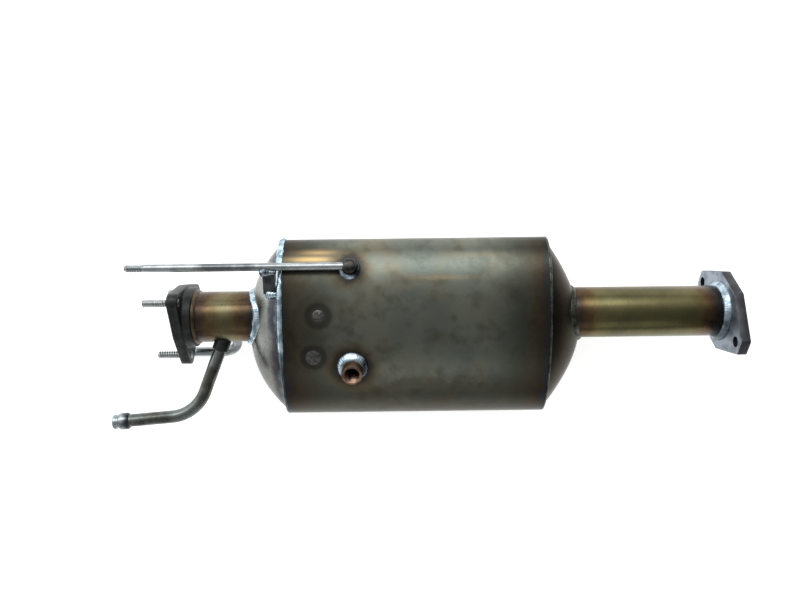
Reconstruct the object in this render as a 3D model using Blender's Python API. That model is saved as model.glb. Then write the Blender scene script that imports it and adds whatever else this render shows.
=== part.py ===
"""Diesel particulate filter with an oval canister, modelled in metres.

The part frame has its origin at the canister's centre: +X runs with the gas from the inlet flange
to the outlet flange, +Y along the oval's wide axis and +Z along its short axis. Every piece is
parented to one empty, which lays the whole part down as it comes to rest on a floor.
"""

import math

import bmesh
import bpy
import numpy as np
from mathutils import Matrix, Vector

MM = 0.001

# Clearance between pieces that touch
GAP = 0.3 * MM
# Clearance of a weld bead, measured along a slanted face
WELD_SEAT = 0.5 * MM

# Canister shell, an oval rolled from sheet
SHELL_WIDTH = 180.0 * MM
SHELL_HEIGHT = 90.0 * MM
SHELL_LENGTH = 257.0 * MM
SHELL_WALL = 1.5 * MM
OVAL_SIDES = 48

# Pressed end caps
CAP_WALL = 1.5 * MM
CAP_DEPTH = 37.0 * MM
CAP_SKIRT = 12.0 * MM
# Fullness of the inlet and the outlet dome, along the oval's wide axis and its short one
CAP_FULLNESS = {-1: (2.5, 2.6), 1: (1.8, 2.5)}
DOME_STEPS = 5

# Pipes, whose common axis lies off the oval's centre
PIPE_DIAMETER = 50.8 * MM
PIPE_WALL = 1.5 * MM
PIPE_OFFSET = 12.8 * MM
PIPE_ENTRY = 9.0 * MM
PIPE_RECESS = 2.0 * MM
PIPE_SIDES = 36
INLET_RUN = 108.5 * MM
OUTLET_RUN = 188.0 * MM

# Inlet flange with three lobes and a hub
INLET_FLANGE_THICKNESS = 10.0 * MM
INLET_DISC_RADIUS = 32.5 * MM
INLET_LOBE_PITCH = 39.0 * MM
INLET_LOBE_RADIUS = 9.5 * MM
INLET_LOBE_ANGLE = math.radians(56.0)
INLET_LOBES = ("upper", "rear", "lower")
HUB_DIAMETER = 60.0 * MM
HUB_LENGTH = 8.0 * MM
FLANGE_CHAMFER = 0.8 * MM
# Longest side between two points of a flange's outline
OUTLINE_STEP = 8.0 * MM

# Studs pressed into the inlet flange
STUD_DIAMETER = 8.0 * MM
STUD_REACH = {"upper": 25.0 * MM, "rear": 24.0 * MM, "lower": 21.0 * MM}
STUD_CHAMFER = 1.0 * MM

# Outlet flange with two bolt holes and cut corners
OUTLET_FLANGE_THICKNESS = 9.5 * MM
OUTLET_FLANGE_LENGTH = 115.0 * MM
OUTLET_FLANGE_WIDTH = 71.0 * MM
OUTLET_END_FLAT = 16.0 * MM
OUTLET_SIDE_FLAT = 36.0 * MM
OUTLET_FLANGE_ANGLE = math.radians(115.5)
OUTLET_BOLT_PITCH = 95.0 * MM
OUTLET_BOLT_HOLE = 10.5 * MM
OUTLET_CORNER_RADIUS = 3.0 * MM

# Weld beads
SEAM_LAP = 1.6 * MM
SEAM_REACH = 4.0 * MM
SEAM_CROWN = 1.0 * MM
# Clearance of a seam weld over the dome, measured square to the oval
SEAM_SEAT = 0.6 * MM
PIPE_BEAD_WIDTH = 5.6 * MM
PIPE_BEAD_LENGTH = 6.0 * MM
FLANGE_BEAD_LENGTH = {"inlet": 4.5 * MM, "outlet": 6.5 * MM}
FLANGE_BEAD_WIDTH = {"inlet": 2.4 * MM, "outlet": 5.4 * MM}

# Sensor boss, leaning with the shell's surface; a lead is measured from the shell's inlet end
SENSOR_LEAD = 67.5 * MM
SENSOR_Y = -29.2 * MM
SENSOR_DIAMETER = 20.0 * MM
SENSOR_BORE = 13.9 * MM
SENSOR_HEIGHT = 16.0 * MM
SENSOR_WELD_DIAMETER = 31.0 * MM
SENSOR_WELD_HEIGHT = 5.4 * MM

# Support rod with the boss and the bracket that carry it; an inset is measured from the shell's
# +Y side
ROD_DIAMETER = 7.6 * MM
ROD_OVERHANG = 145.5 * MM
ROD_CHAMFER = 1.2 * MM
ROD_STANDOFF = 7.7 * MM
ROD_SEAT_DEPTH = 10.0 * MM
ROD_BOSS_LEAD = 66.5 * MM
ROD_BOSS_INSET = 23.9 * MM
ROD_BOSS_DIAMETER = 15.5 * MM
ROD_BOSS_HEIGHT = 13.0 * MM
ROD_WELD_DIAMETER = 21.0 * MM
ROD_WELD_HEIGHT = 2.8 * MM
BRACKET_WIDTH = 13.0 * MM
BRACKET_THICKNESS = 3.0 * MM
BRACKET_DROP = math.radians(15.0)
BRACKET_REACH = 42.0 * MM
BRACKET_BEAD_RADIUS = 2.2 * MM

# Plug welds that hold the baffle's rim, by their lead and their place across the oval
PLUG_WELDS = {
    "upper": {"lead": 35.9 * MM, "y": 23.0 * MM, "head": 11.0 * MM},
    "lower": {"lead": 30.1 * MM, "y": -18.2 * MM, "head": 15.0 * MM},
}
PLUG_SHANK = 7.0 * MM
PLUG_CROWN = 1.3 * MM

# Front pressure pipe: its boss, its bend and the nipple for a hose. Its setback is measured from
# the shell's inlet end, and its reach, fall and rise from where its axis meets the inlet pipe's
FRONT_PIPE_DIAMETER = 12.7 * MM
FRONT_PIPE_WALL = 1.5 * MM
FRONT_PIPE_SETBACK = 56.0 * MM
FRONT_PIPE_TILT = math.radians(16.1)
FRONT_PIPE_SLANT = math.radians(19.8)
FRONT_PIPE_DROP = 98.0 * MM
FRONT_PIPE_REACH = 111.5 * MM
FRONT_PIPE_FALL = 98.6 * MM
FRONT_PIPE_RISE = 32.8 * MM
FRONT_BEND_RADIUS = 44.0 * MM
FRONT_BOSS_DIAMETER = 16.0 * MM
FRONT_BOSS_REACH = 36.5 * MM
TAP_BORE = 7.0 * MM
NIPPLE_DIAMETER = 16.6 * MM
NIPPLE_LENGTH = 16.0 * MM
NIPPLE_SOCKET = 10.5 * MM

# Rear pressure pipe, which leaves the back of the inlet pipe
REAR_PIPE_DIAMETER = 10.0 * MM
REAR_PIPE_WALL = 1.2 * MM
REAR_PIPE_SETBACK = 57.0 * MM
REAR_PIPE_TILT = math.radians(33.0)
REAR_PIPE_DROP = 55.0 * MM
REAR_PIPE_REACH = 46.0 * MM
REAR_BEND_RADIUS = 18.0 * MM
REAR_WELD_DIAMETER = 17.0 * MM
REAR_WELD_HEIGHT = 4.0 * MM
TUBE_SIDES = 10

# Ceramic monolith, its mat and the rings that keep the mat in place
BRICK_LEAD = 88.5 * MM
BRICK_TAIL = 16.1 * MM
MAT_THICKNESS = 3.2 * MM
MAT_RING_LENGTH = 6.0 * MM
BRICK_CHAMFER = 1.0 * MM

# Perforated baffle
BAFFLE_LEAD = 24.0 * MM
BAFFLE_RIM = 17.5 * MM
BAFFLE_WALL = 1.2 * MM
BAFFLE_HOLE = 10.0 * MM
BAFFLE_MARGIN = 10.0 * MM
BAFFLE_COLUMNS = 8
BAFFLE_ROW_SHARE = 0.6

# Long seam of the shell, on the side that lies down
SHELL_SEAM_Y = 44.0 * MM
SHELL_SEAM_RADIUS = 3.0 * MM
SHELL_SEAM_SUNK = 2.0 * MM
SHELL_SEAM_MARGIN = 5.0 * MM

# How the part lies at rest, about X and about Y
REST_ROLL = math.radians(5.7)
REST_PITCH = math.radians(-0.65)

# Values that follow from the ones above
SHELL_HALF = SHELL_LENGTH / 2
INLET_FACE = -(SHELL_HALF + INLET_RUN)
OUTLET_FACE = SHELL_HALF + OUTLET_RUN
SENSOR_X = SENSOR_LEAD - SHELL_HALF
ROD_BOSS_X = ROD_BOSS_LEAD - SHELL_HALF
ROD_BOSS_Y = SHELL_WIDTH / 2 - ROD_BOSS_INSET
ROD_TIP_X = -(SHELL_HALF + ROD_OVERHANG)
FRONT_PIPE_X = -(SHELL_HALF + FRONT_PIPE_SETBACK)
REAR_PIPE_X = -(SHELL_HALF + REAR_PIPE_SETBACK)
BRICK_START = BRICK_LEAD - SHELL_HALF
BRICK_END = SHELL_HALF - BRICK_TAIL
BAFFLE_START = BAFFLE_LEAD - SHELL_HALF
PIPE_RADIUS = PIPE_DIAMETER / 2
ROD_RADIUS = ROD_DIAMETER / 2

# Colour, roughness and metallic value of each finish
FINISHES = {
    "stainless_shell": ("6A675E", 0.38, 1.0),
    "stainless_cap": ("7C7A76", 0.34, 1.0),
    "tinted_pipe": ("8A8264", 0.32, 1.0),
    "dark_flange": ("4C4F50", 0.55, 0.9),
    "weld_bead": ("B9C4CC", 0.30, 1.0),
    "zinc_stud": ("B4BABB", 0.35, 1.0),
    "steel_rod": ("7E8386", 0.40, 1.0),
    "dark_tube": ("4A5258", 0.42, 0.9),
    "cordierite": ("B9A98C", 0.90, 0.0),
    "mat_fibre": ("CFC9B8", 0.95, 0.0),
    "knitted_wire": ("8C8C88", 0.60, 1.0),
}


def clear_scene():
    """Remove every object that the file opened with."""
    for old in list(bpy.data.objects):
        bpy.data.objects.remove(old, do_unlink=True)


def linear(channel):
    """Turn one sRGB channel from 0 to 255 into a linear value."""
    value = channel / 255
    if value <= 0.04045:
        return value / 12.92
    return ((value + 0.055) / 1.055) ** 2.4


def finish_material(finish):
    """Give the material of a finish, made on its first use."""
    material = bpy.data.materials.get(finish)
    if material:
        return material
    colour, roughness, metallic = FINISHES[finish]
    material = bpy.data.materials.new(finish)
    material.use_nodes = True
    shader = material.node_tree.nodes["Principled BSDF"]
    channels = [linear(int(colour[place:place + 2], 16)) for place in (0, 2, 4)]
    shader.inputs["Base Color"].default_value = (*channels, 1.0)
    shader.inputs["Roughness"].default_value = roughness
    shader.inputs["Metallic"].default_value = metallic
    return material


def add_piece(name, bm, finish, root, smooth_below=math.radians(35.0)):
    """Make a named piece from a bmesh, with its faces turned out, and parent it to the root."""
    bmesh.ops.recalc_face_normals(bm, faces=bm.faces)
    mesh = bpy.data.meshes.new(name)
    bm.to_mesh(mesh)
    bm.free()
    mesh.shade_smooth()
    mesh.set_sharp_from_angle(angle=smooth_below)
    mesh.materials.append(finish_material(finish))
    piece = bpy.data.objects.new(name, mesh)
    bpy.context.collection.objects.link(piece)
    piece.parent = root
    return piece


def bridge(bm, first, second):
    """Join two rings of as many vertices with quads."""
    count = len(first)
    for index in range(count):
        after = (index + 1) % count
        bm.faces.new((first[index], first[after], second[after], second[index]))


def ring_body(rings):
    """A hollow body whose rings of points run round its section and back to the first."""
    bm = bmesh.new()
    loops = [[bm.verts.new(point) for point in ring] for ring in rings]
    for index, loop in enumerate(loops):
        bridge(bm, loop, loops[(index + 1) % len(loops)])
    return bm


def capped_body(rings):
    """A solid body through rings of points, closed by a flat face at either end."""
    bm = bmesh.new()
    loops = [[bm.verts.new(point) for point in ring] for ring in rings]
    for first, second in zip(loops, loops[1:]):
        bridge(bm, first, second)
    bm.faces.new(loops[0])
    bm.faces.new(loops[-1])
    return bm


def add_cutter(name, bm, root):
    """Make a hidden body that only cuts others."""
    cutter = add_piece(name, bm, "dark_flange", root)
    cutter.hide_render = True
    cutter.display_type = "WIRE"
    return cutter


def cut(piece, cutter):
    """Cut the piece with a cutter."""
    boolean = piece.modifiers.new("cut by " + cutter.name, "BOOLEAN")
    boolean.operation = "DIFFERENCE"
    boolean.object = cutter


def inset(oval, amount):
    """The half axes of an oval made smaller by an amount."""
    return (oval[0] - amount, oval[1] - amount)


SHELL_OUTER = (SHELL_WIDTH / 2, SHELL_HEIGHT / 2)
SHELL_INNER = inset(SHELL_OUTER, SHELL_WALL)
CAP_OUTER = inset(SHELL_INNER, GAP)
CAP_INNER = inset(CAP_OUTER, CAP_WALL)
MAT_OUTER = inset(SHELL_INNER, GAP)
MAT_INNER = inset(MAT_OUTER, MAT_THICKNESS)
BRICK_OVAL = inset(MAT_INNER, GAP)


def oval_ring(oval, x, lift=0.0):
    """Points round an oval at x, lifted along its own normals."""
    ring = []
    for step in range(OVAL_SIDES):
        angle = math.tau * step / OVAL_SIDES
        point = Vector((x, oval[0] * math.cos(angle), oval[1] * math.sin(angle)))
        normal = Vector((0.0, math.cos(angle) / oval[0], math.sin(angle) / oval[1])).normalized()
        ring.append(point + normal * lift)
    return ring


def surface_point(x, y, low=False):
    """The point on the shell's upper or lower outside at x and y, with its normal."""
    half_width, half_height = SHELL_OUTER
    z = half_height * math.sqrt(1.0 - (y / half_width) ** 2)
    if low:
        z = -z
    normal = Vector((0.0, y / half_width ** 2, z / half_height ** 2)).normalized()
    return Vector((x, y, z)), normal


def pipe_ring(x, radius, sides=PIPE_SIDES):
    """Points round the pipes' axis at x."""
    ring = []
    for step in range(sides):
        angle = math.tau * step / sides
        ring.append(Vector((x, PIPE_OFFSET + radius * math.cos(angle), radius * math.sin(angle))))
    return ring


def pipe_direction(tilt):
    """The direction that leaves the pipes' axis toward -Y, tilted toward +Z by an angle."""
    return Vector((0.0, -math.cos(tilt), math.sin(tilt)))


def dome_fullness(side, wide_share):
    """A dome's fullness, blended by how much of the way out runs along the oval's wide axis."""
    along_wide, along_short = CAP_FULLNESS[side]
    return along_short + (along_wide - along_short) * wide_share


def dome_rise(side, y, z, oval=CAP_OUTER, depth=CAP_DEPTH):
    """How far a cap's dome stands beyond its rim, at a point across the oval."""
    reach = math.hypot(y / oval[0], z / oval[1])
    if reach == 0.0:
        return depth
    wide_share = (y / oval[0] / reach) ** 2
    return depth * (1.0 - min(1.0, reach) ** dome_fullness(side, wide_share))


def dome_normal(side, y, z):
    """The outward normal of a cap's dome."""
    step = 0.5 * MM
    slope_y = (dome_rise(side, y + step, z) - dome_rise(side, y - step, z)) / (2 * step)
    slope_z = (dome_rise(side, y, z + step) - dome_rise(side, y, z - step)) / (2 * step)
    return Vector((side, -slope_y, -slope_z)).normalized()


def dome_ring(side, rise, lift):
    """Points round a cap's dome where it has risen this far, lifted along the oval's normals."""
    ring = []
    for step, rim in enumerate(oval_ring(CAP_OUTER, side * (SHELL_HALF + rise))):
        angle = math.tau * step / OVAL_SIDES
        left = (1.0 - rise / CAP_DEPTH) ** (1.0 / dome_fullness(side, math.cos(angle) ** 2))
        normal = Vector((0.0, rim.y / CAP_OUTER[0] ** 2, rim.z / CAP_OUTER[1] ** 2)).normalized()
        ring.append(Vector((rim.x, left * rim.y, left * rim.z)) + normal * lift)
    return ring


def dome_rings(side, oval, depth, neck_radius):
    """Rings over one face of a cap, from the skirt's end over the dome to the neck."""
    rim = side * SHELL_HALF
    rings = [oval_ring(oval, rim - side * CAP_SKIRT)]
    edge = oval_ring(oval, rim)
    neck = pipe_ring(rim, neck_radius, OVAL_SIDES)
    for step in range(DOME_STEPS + 1):
        ring = []
        for outer, inner in zip(edge, neck):
            point = outer.lerp(inner, step / DOME_STEPS)
            point.x = rim + side * dome_rise(side, point.y, point.z, oval, depth)
            ring.append(point)
        rings.append(ring)
    return rings


def cross_directions(axis):
    """Two directions square to an axis and to each other."""
    aside = Vector((1.0, 0.0, 0.0)) if abs(axis.x) < 0.9 else Vector((0.0, 0.0, 1.0))
    first = axis.cross(aside).normalized()
    return first, axis.cross(first).normalized()


def circle(centre, axis, radius, sides):
    """Points round an axis."""
    first, second = cross_directions(axis)
    ring = []
    for step in range(sides):
        angle = math.tau * step / sides
        ring.append(centre + (first * math.cos(angle) + second * math.sin(angle)) * radius)
    return ring


def turned_rings(profile, base, axis, sides):
    """Rings of a turned body, from its profile of radius and height along the axis."""
    return [circle(base + axis * height, axis, radius, sides) for radius, height in profile]


def cylinder_cutter(name, start, end, radius, root, sides=24):
    """A round cutter between two points."""
    axis = (end - start).normalized()
    profile = [(radius, 0.0), (radius, (end - start).length)]
    return add_cutter(name, capped_body(turned_rings(profile, start, axis, sides)), root)


def bent_route(corners, bend_radius, arc_steps=7):
    """Centre points of a tube: straight runs with an arc of one radius at each corner."""
    route = [corners[0]]
    for before, corner, after in zip(corners, corners[1:], corners[2:]):
        into = (corner - before).normalized()
        away = (after - corner).normalized()
        turn = into.angle(away)
        tangent = bend_radius * math.tan(turn / 2)
        start = corner - into * tangent
        bend_axis = into.cross(away).normalized()
        inward = bend_axis.cross(into)
        centre = start + inward * bend_radius
        for step in range(arc_steps + 1):
            swing = Matrix.Rotation(turn * step / arc_steps, 3, bend_axis)
            route.append(centre + swing @ (start - centre))
    route.append(corners[-1])
    return route


def swept_rings(route, radii, sides=TUBE_SIDES):
    """Rings along a route that never twist, one radius for each point."""
    rings = []
    across = None
    for index, point in enumerate(route):
        ahead = route[min(index + 1, len(route) - 1)]
        behind = route[max(index - 1, 0)]
        heading = (ahead - behind).normalized()
        if across is None:
            across = cross_directions(heading)[0]
        across = (across - heading * across.dot(heading)).normalized()
        third = heading.cross(across)
        ring = []
        for step in range(sides):
            angle = math.tau * step / sides
            ring.append(point + (across * math.cos(angle) + third * math.sin(angle)) * radii[index])
        rings.append(ring)
    return rings


def tube_body(route, outer_radius, wall):
    """A tube with an open bore along a route."""
    outer = swept_rings(route, [outer_radius] * len(route))
    inner = swept_rings(route, [outer_radius - wall] * len(route))
    return ring_body(outer + inner[::-1])


def bead_body(centres, radius, sides=TUBE_SIDES):
    """A weld bead along its centres, drawn in at both ends."""
    radii = [radius] * len(centres)
    radii[0] = radii[-1] = radius * 0.45
    return capped_body(swept_rings(centres, radii, sides))


def bead_centres(start, end, radius):
    """Centres of a straight bead, with a short run-out at either end."""
    run = (end - start).normalized() * min(radius, (end - start).length / 3)
    return [start, start + run, end - run, end]


def build_shell(root, plug_holes, sensor_hole):
    """The rolled shell, with the holes for the plug welds and the sensor boss."""
    rings = [
        oval_ring(SHELL_OUTER, -SHELL_HALF),
        oval_ring(SHELL_OUTER, SHELL_HALF),
        oval_ring(SHELL_INNER, SHELL_HALF),
        oval_ring(SHELL_INNER, -SHELL_HALF),
    ]
    shell = add_piece("canister_shell", ring_body(rings), "stainless_shell", root)
    for hole in (*plug_holes, sensor_hole):
        cut(shell, hole)


def build_shell_seam(root, envelope):
    """The long weld of the rolled shell, flat on its hidden side."""
    reach = SHELL_HALF - SHELL_SEAM_MARGIN
    start, normal = surface_point(-reach, SHELL_SEAM_Y, low=True)
    end = Vector((reach, start.y, start.z))
    sunk = normal * SHELL_SEAM_SUNK
    centres = bead_centres(start - sunk, end - sunk, SHELL_SEAM_RADIUS)
    seam = add_piece("shell_seam_weld", bead_body(centres, SHELL_SEAM_RADIUS), "weld_bead", root)
    cut(seam, envelope)


def build_cap(name, side, root):
    """A pressed cap: a skirt that slides into the shell and a dome with an off-centre neck hole."""
    neck = PIPE_RADIUS + GAP
    outer = dome_rings(side, CAP_OUTER, CAP_DEPTH, neck)
    inner = dome_rings(side, CAP_INNER, CAP_DEPTH - CAP_WALL, neck)
    add_piece(name, ring_body(outer + inner[::-1]), "stainless_cap", root)


def build_seam_weld(name, side, root):
    """The bead that laps the shell's end and runs down onto the cap."""
    rim = side * SHELL_HALF
    rings = [
        oval_ring(SHELL_OUTER, rim - side * SEAM_LAP, GAP),
        oval_ring(SHELL_OUTER, rim, GAP + SEAM_CROWN),
        dome_ring(side, SEAM_REACH / 2, 3 * SEAM_CROWN),
        dome_ring(side, SEAM_REACH, SEAM_SEAT),
        dome_ring(side, GAP, SEAM_SEAT),
        oval_ring(SHELL_OUTER, rim + side * GAP, GAP),
    ]
    add_piece(name, ring_body(rings), "weld_bead", root)


def neck_station(side, radius, beyond):
    """A ring round the pipe that follows the dome at this radius, moved out by a distance."""
    ring = []
    for point in pipe_ring(0.0, radius, OVAL_SIDES):
        point.x = side * (SHELL_HALF + dome_rise(side, point.y, point.z) + beyond)
        ring.append(point)
    return ring


def build_pipe_weld(name, side, root):
    """The fillet between a cap and its pipe, which follows the dome."""
    inner = PIPE_RADIUS + GAP
    width = PIPE_BEAD_WIDTH
    length = PIPE_BEAD_LENGTH
    rings = [
        neck_station(side, inner, WELD_SEAT),
        neck_station(side, inner + width, WELD_SEAT),
        neck_station(side, inner + 0.80 * width, 0.42 * length),
        neck_station(side, inner + 0.30 * width, 0.85 * length),
        neck_station(side, inner, length),
    ]
    add_piece(name, ring_body(rings), "weld_bead", root)


def neck_low_point(side):
    """How far the lowest edge of the neck hole stands beyond the cap's rim."""
    ring = pipe_ring(0.0, PIPE_RADIUS + GAP, OVAL_SIDES)
    return min(dome_rise(side, point.y, point.z) for point in ring)


def build_pipe(name, side, face_x, root):
    """A pipe from just inside its flange to just inside its cap."""
    start = face_x - side * PIPE_RECESS
    end = side * (SHELL_HALF + neck_low_point(side) - PIPE_ENTRY)
    rings = [
        pipe_ring(start, PIPE_RADIUS),
        pipe_ring(end, PIPE_RADIUS),
        pipe_ring(end, PIPE_RADIUS - PIPE_WALL),
        pipe_ring(start, PIPE_RADIUS - PIPE_WALL),
    ]
    return add_piece(name, ring_body(rings), "tinted_pipe", root)


def lobed_outline():
    """The inlet flange's outline: a disc and three lobes, joined by straight tangents."""
    tangent = math.acos((INLET_DISC_RADIUS - INLET_LOBE_RADIUS) / INLET_LOBE_PITCH)
    between = math.tau / len(INLET_LOBES)
    outline = []
    for lobe in range(len(INLET_LOBES)):
        heading = INLET_LOBE_ANGLE + between * lobe
        centre = Vector((math.cos(heading), math.sin(heading))) * INLET_LOBE_PITCH
        for step in range(-4, 5):
            angle = heading + tangent * step / 4
            outline.append(centre + Vector((math.cos(angle), math.sin(angle))) * INLET_LOBE_RADIUS)
        for step in range(3):
            angle = heading + tangent + (between - 2 * tangent) * step / 2
            outline.append(Vector((math.cos(angle), math.sin(angle))) * INLET_DISC_RADIUS)
    return divided(outline, OUTLINE_STEP)


def diamond_outline():
    """The outlet flange's outline: two end flats, two side flats and slanted sides."""
    end = OUTLET_FLANGE_LENGTH / 2
    side = OUTLET_FLANGE_WIDTH / 2
    end_flat = OUTLET_END_FLAT / 2
    side_flat = OUTLET_SIDE_FLAT / 2
    quarter = [(end, end_flat), (side_flat, side)]
    corners = quarter + [(-x, y) for x, y in quarter[::-1]]
    corners += [(-x, -y) for x, y in corners]
    points = [Vector(corner) for corner in corners]
    outline = []
    for index, corner in enumerate(points):
        outline += rounded_corner(points[index - 1], corner, points[(index + 1) % len(points)])
    outline = divided(outline, OUTLINE_STEP)
    turn = Matrix.Rotation(OUTLET_FLANGE_ANGLE, 2)
    return [turn @ point for point in outline]


def rounded_corner(before, corner, after):
    """The start, middle and end of the arc that rounds one corner of an outline."""
    into = (corner - before).normalized()
    away = (after - corner).normalized()
    turn = into.angle(away)
    tangent = OUTLET_CORNER_RADIUS * math.tan(turn / 2)
    start = corner - into * tangent
    end = corner + away * tangent
    middle = corner + (away - into).normalized() * tangent * math.tan(turn / 4)
    return [start, middle, end]


def divided(outline, longest):
    """The outline with points added along its long straight sides."""
    points = []
    for index, start in enumerate(outline):
        end = outline[(index + 1) % len(outline)]
        parts = max(1, math.ceil((end - start).length / longest))
        points += [start.lerp(end, part / parts) for part in range(parts)]
    return points


def flange_ring(outline, x, shrink=0.0):
    """The outline at x, drawn in toward the pipes' axis."""
    ring = []
    for point in outline:
        drawn = point * (1.0 - shrink / point.length)
        ring.append(Vector((x, PIPE_OFFSET + drawn.x, drawn.y)))
    return ring


def round_ring(outline, x, radius):
    """A circle at x, with a point at the angle of each point of the outline."""
    return flange_ring([point.normalized() * radius for point in outline], x)


def flange_rings(outline, face, back):
    """The rings of a flange plate, from its bore over its face and rim to its back."""
    inward = math.copysign(FLANGE_CHAMFER, back - face)
    bore = PIPE_RADIUS + GAP
    return [
        round_ring(outline, face, bore),
        flange_ring(outline, face, FLANGE_CHAMFER),
        flange_ring(outline, face + inward),
        flange_ring(outline, back - inward),
        flange_ring(outline, back, FLANGE_CHAMFER),
    ]


def lobe_centre(lobe, x):
    """The centre of one lobe's stud hole at x."""
    heading = INLET_LOBE_ANGLE + math.tau * INLET_LOBES.index(lobe) / len(INLET_LOBES)
    y = PIPE_OFFSET + INLET_LOBE_PITCH * math.cos(heading)
    return Vector((x, y, INLET_LOBE_PITCH * math.sin(heading)))


def build_inlet_flange(root):
    """The three-lobed flange with its hub, and the holes for the studs."""
    outline = lobed_outline()
    back = INLET_FACE + INLET_FLANGE_THICKNESS
    hub_end = back + HUB_LENGTH
    hub = HUB_DIAMETER / 2
    rings = flange_rings(outline, INLET_FACE, back)
    rings += [
        round_ring(outline, back, hub),
        round_ring(outline, hub_end - FLANGE_CHAMFER, hub),
        round_ring(outline, hub_end, hub - FLANGE_CHAMFER),
        round_ring(outline, hub_end, PIPE_RADIUS + GAP),
    ]
    flange = add_piece("inlet_flange", ring_body(rings), "dark_flange", root)
    for lobe in INLET_LOBES:
        start = lobe_centre(lobe, INLET_FACE - INLET_FLANGE_THICKNESS)
        end = lobe_centre(lobe, back + INLET_FLANGE_THICKNESS / 2)
        cut(flange, cylinder_cutter("cutter_stud_" + lobe, start, end, STUD_DIAMETER / 2 + GAP, root))


def build_stud(lobe, root):
    """A stud whose inner end is flush with the flange's back."""
    back = INLET_FACE + INLET_FLANGE_THICKNESS
    length = INLET_FLANGE_THICKNESS + STUD_REACH[lobe]
    radius = STUD_DIAMETER / 2
    profile = [
        (radius - STUD_CHAMFER / 2, 0.0),
        (radius, STUD_CHAMFER / 2),
        (radius, length - STUD_CHAMFER),
        (radius - STUD_CHAMFER, length),
    ]
    rings = turned_rings(profile, lobe_centre(lobe, back), Vector((-1.0, 0.0, 0.0)), 16)
    add_piece("inlet_stud_" + lobe, capped_body(rings), "zinc_stud", root)


def build_outlet_flange(root):
    """The flat flange with two bolt holes."""
    outline = diamond_outline()
    back = OUTLET_FACE - OUTLET_FLANGE_THICKNESS
    rings = flange_rings(outline, OUTLET_FACE, back)
    rings.append(round_ring(outline, back, PIPE_RADIUS + GAP))
    flange = add_piece("outlet_flange", ring_body(rings), "dark_flange", root)
    for end in (-1, 1):
        reach = end * OUTLET_BOLT_PITCH / 2
        y = PIPE_OFFSET + reach * math.cos(OUTLET_FLANGE_ANGLE)
        z = reach * math.sin(OUTLET_FLANGE_ANGLE)
        start = Vector((back - OUTLET_FLANGE_THICKNESS, y, z))
        stop = Vector((OUTLET_FACE + OUTLET_FLANGE_THICKNESS, y, z))
        name = "cutter_bolt_far" if end < 0 else "cutter_bolt_near"
        cut(flange, cylinder_cutter(name, start, stop, OUTLET_BOLT_HOLE / 2, root))


def build_flange_weld(end, side, seat_x, root):
    """The fillet between a pipe and the flange's inner side."""
    inner = PIPE_RADIUS + GAP
    width = FLANGE_BEAD_WIDTH[end]
    length = FLANGE_BEAD_LENGTH[end]
    start = seat_x - side * GAP
    rings = [
        pipe_ring(start, inner),
        pipe_ring(start, inner + width),
        pipe_ring(start - side * 0.45 * length, inner + 0.80 * width),
        pipe_ring(start - side * 0.85 * length, inner + 0.30 * width),
        pipe_ring(start - side * length, inner),
    ]
    add_piece(end + "_flange_weld", ring_body(rings), "weld_bead", root)


def build_sensor_boss(root, envelope):
    """The boss for a sensor, through the shell, and the weld round its foot."""
    foot, normal = surface_point(SENSOR_X, SENSOR_Y)
    outer = SENSOR_DIAMETER / 2
    bore = SENSOR_BORE / 2
    rim = FLANGE_CHAMFER
    boss_profile = [
        (bore, -SHELL_WALL),
        (outer, -SHELL_WALL),
        (outer, SENSOR_HEIGHT - rim),
        (outer - rim, SENSOR_HEIGHT),
        (bore + rim, SENSOR_HEIGHT),
        (bore, SENSOR_HEIGHT - rim),
    ]
    rings = turned_rings(boss_profile, foot, normal, 24)
    add_piece("sensor_boss", ring_body(rings), "stainless_cap", root)
    toe = SENSOR_WELD_DIAMETER / 2
    inner = outer + GAP
    height = SENSOR_WELD_HEIGHT
    weld_profile = [
        (inner, -0.6 * height),
        (toe, -0.6 * height),
        (toe, 0.12 * height),
        ((toe + inner) / 2, 0.45 * height),
        (inner + 0.12 * (toe - inner), 0.94 * height),
        (inner, height),
    ]
    rings = turned_rings(weld_profile, foot, normal, 24)
    weld = add_piece("sensor_boss_weld", ring_body(rings), "weld_bead", root)
    cut(weld, envelope)


def rod_axis_point(x):
    """A point on the support rod's axis, which stands off the shell."""
    foot, normal = surface_point(x, ROD_BOSS_Y)
    return foot + normal * ROD_STANDOFF


def build_support_rod(root):
    """The round rod, from its seat in the boss to its free tip."""
    start = rod_axis_point(ROD_BOSS_X - ROD_BOSS_DIAMETER / 2 + ROD_SEAT_DEPTH)
    length = start.x - ROD_TIP_X
    profile = [
        (ROD_RADIUS, 0.0),
        (ROD_RADIUS, length - ROD_CHAMFER),
        (ROD_RADIUS - ROD_CHAMFER, length),
    ]
    rings = turned_rings(profile, start, Vector((-1.0, 0.0, 0.0)), 20)
    add_piece("support_rod", capped_body(rings), "steel_rod", root)
    return start


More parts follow.
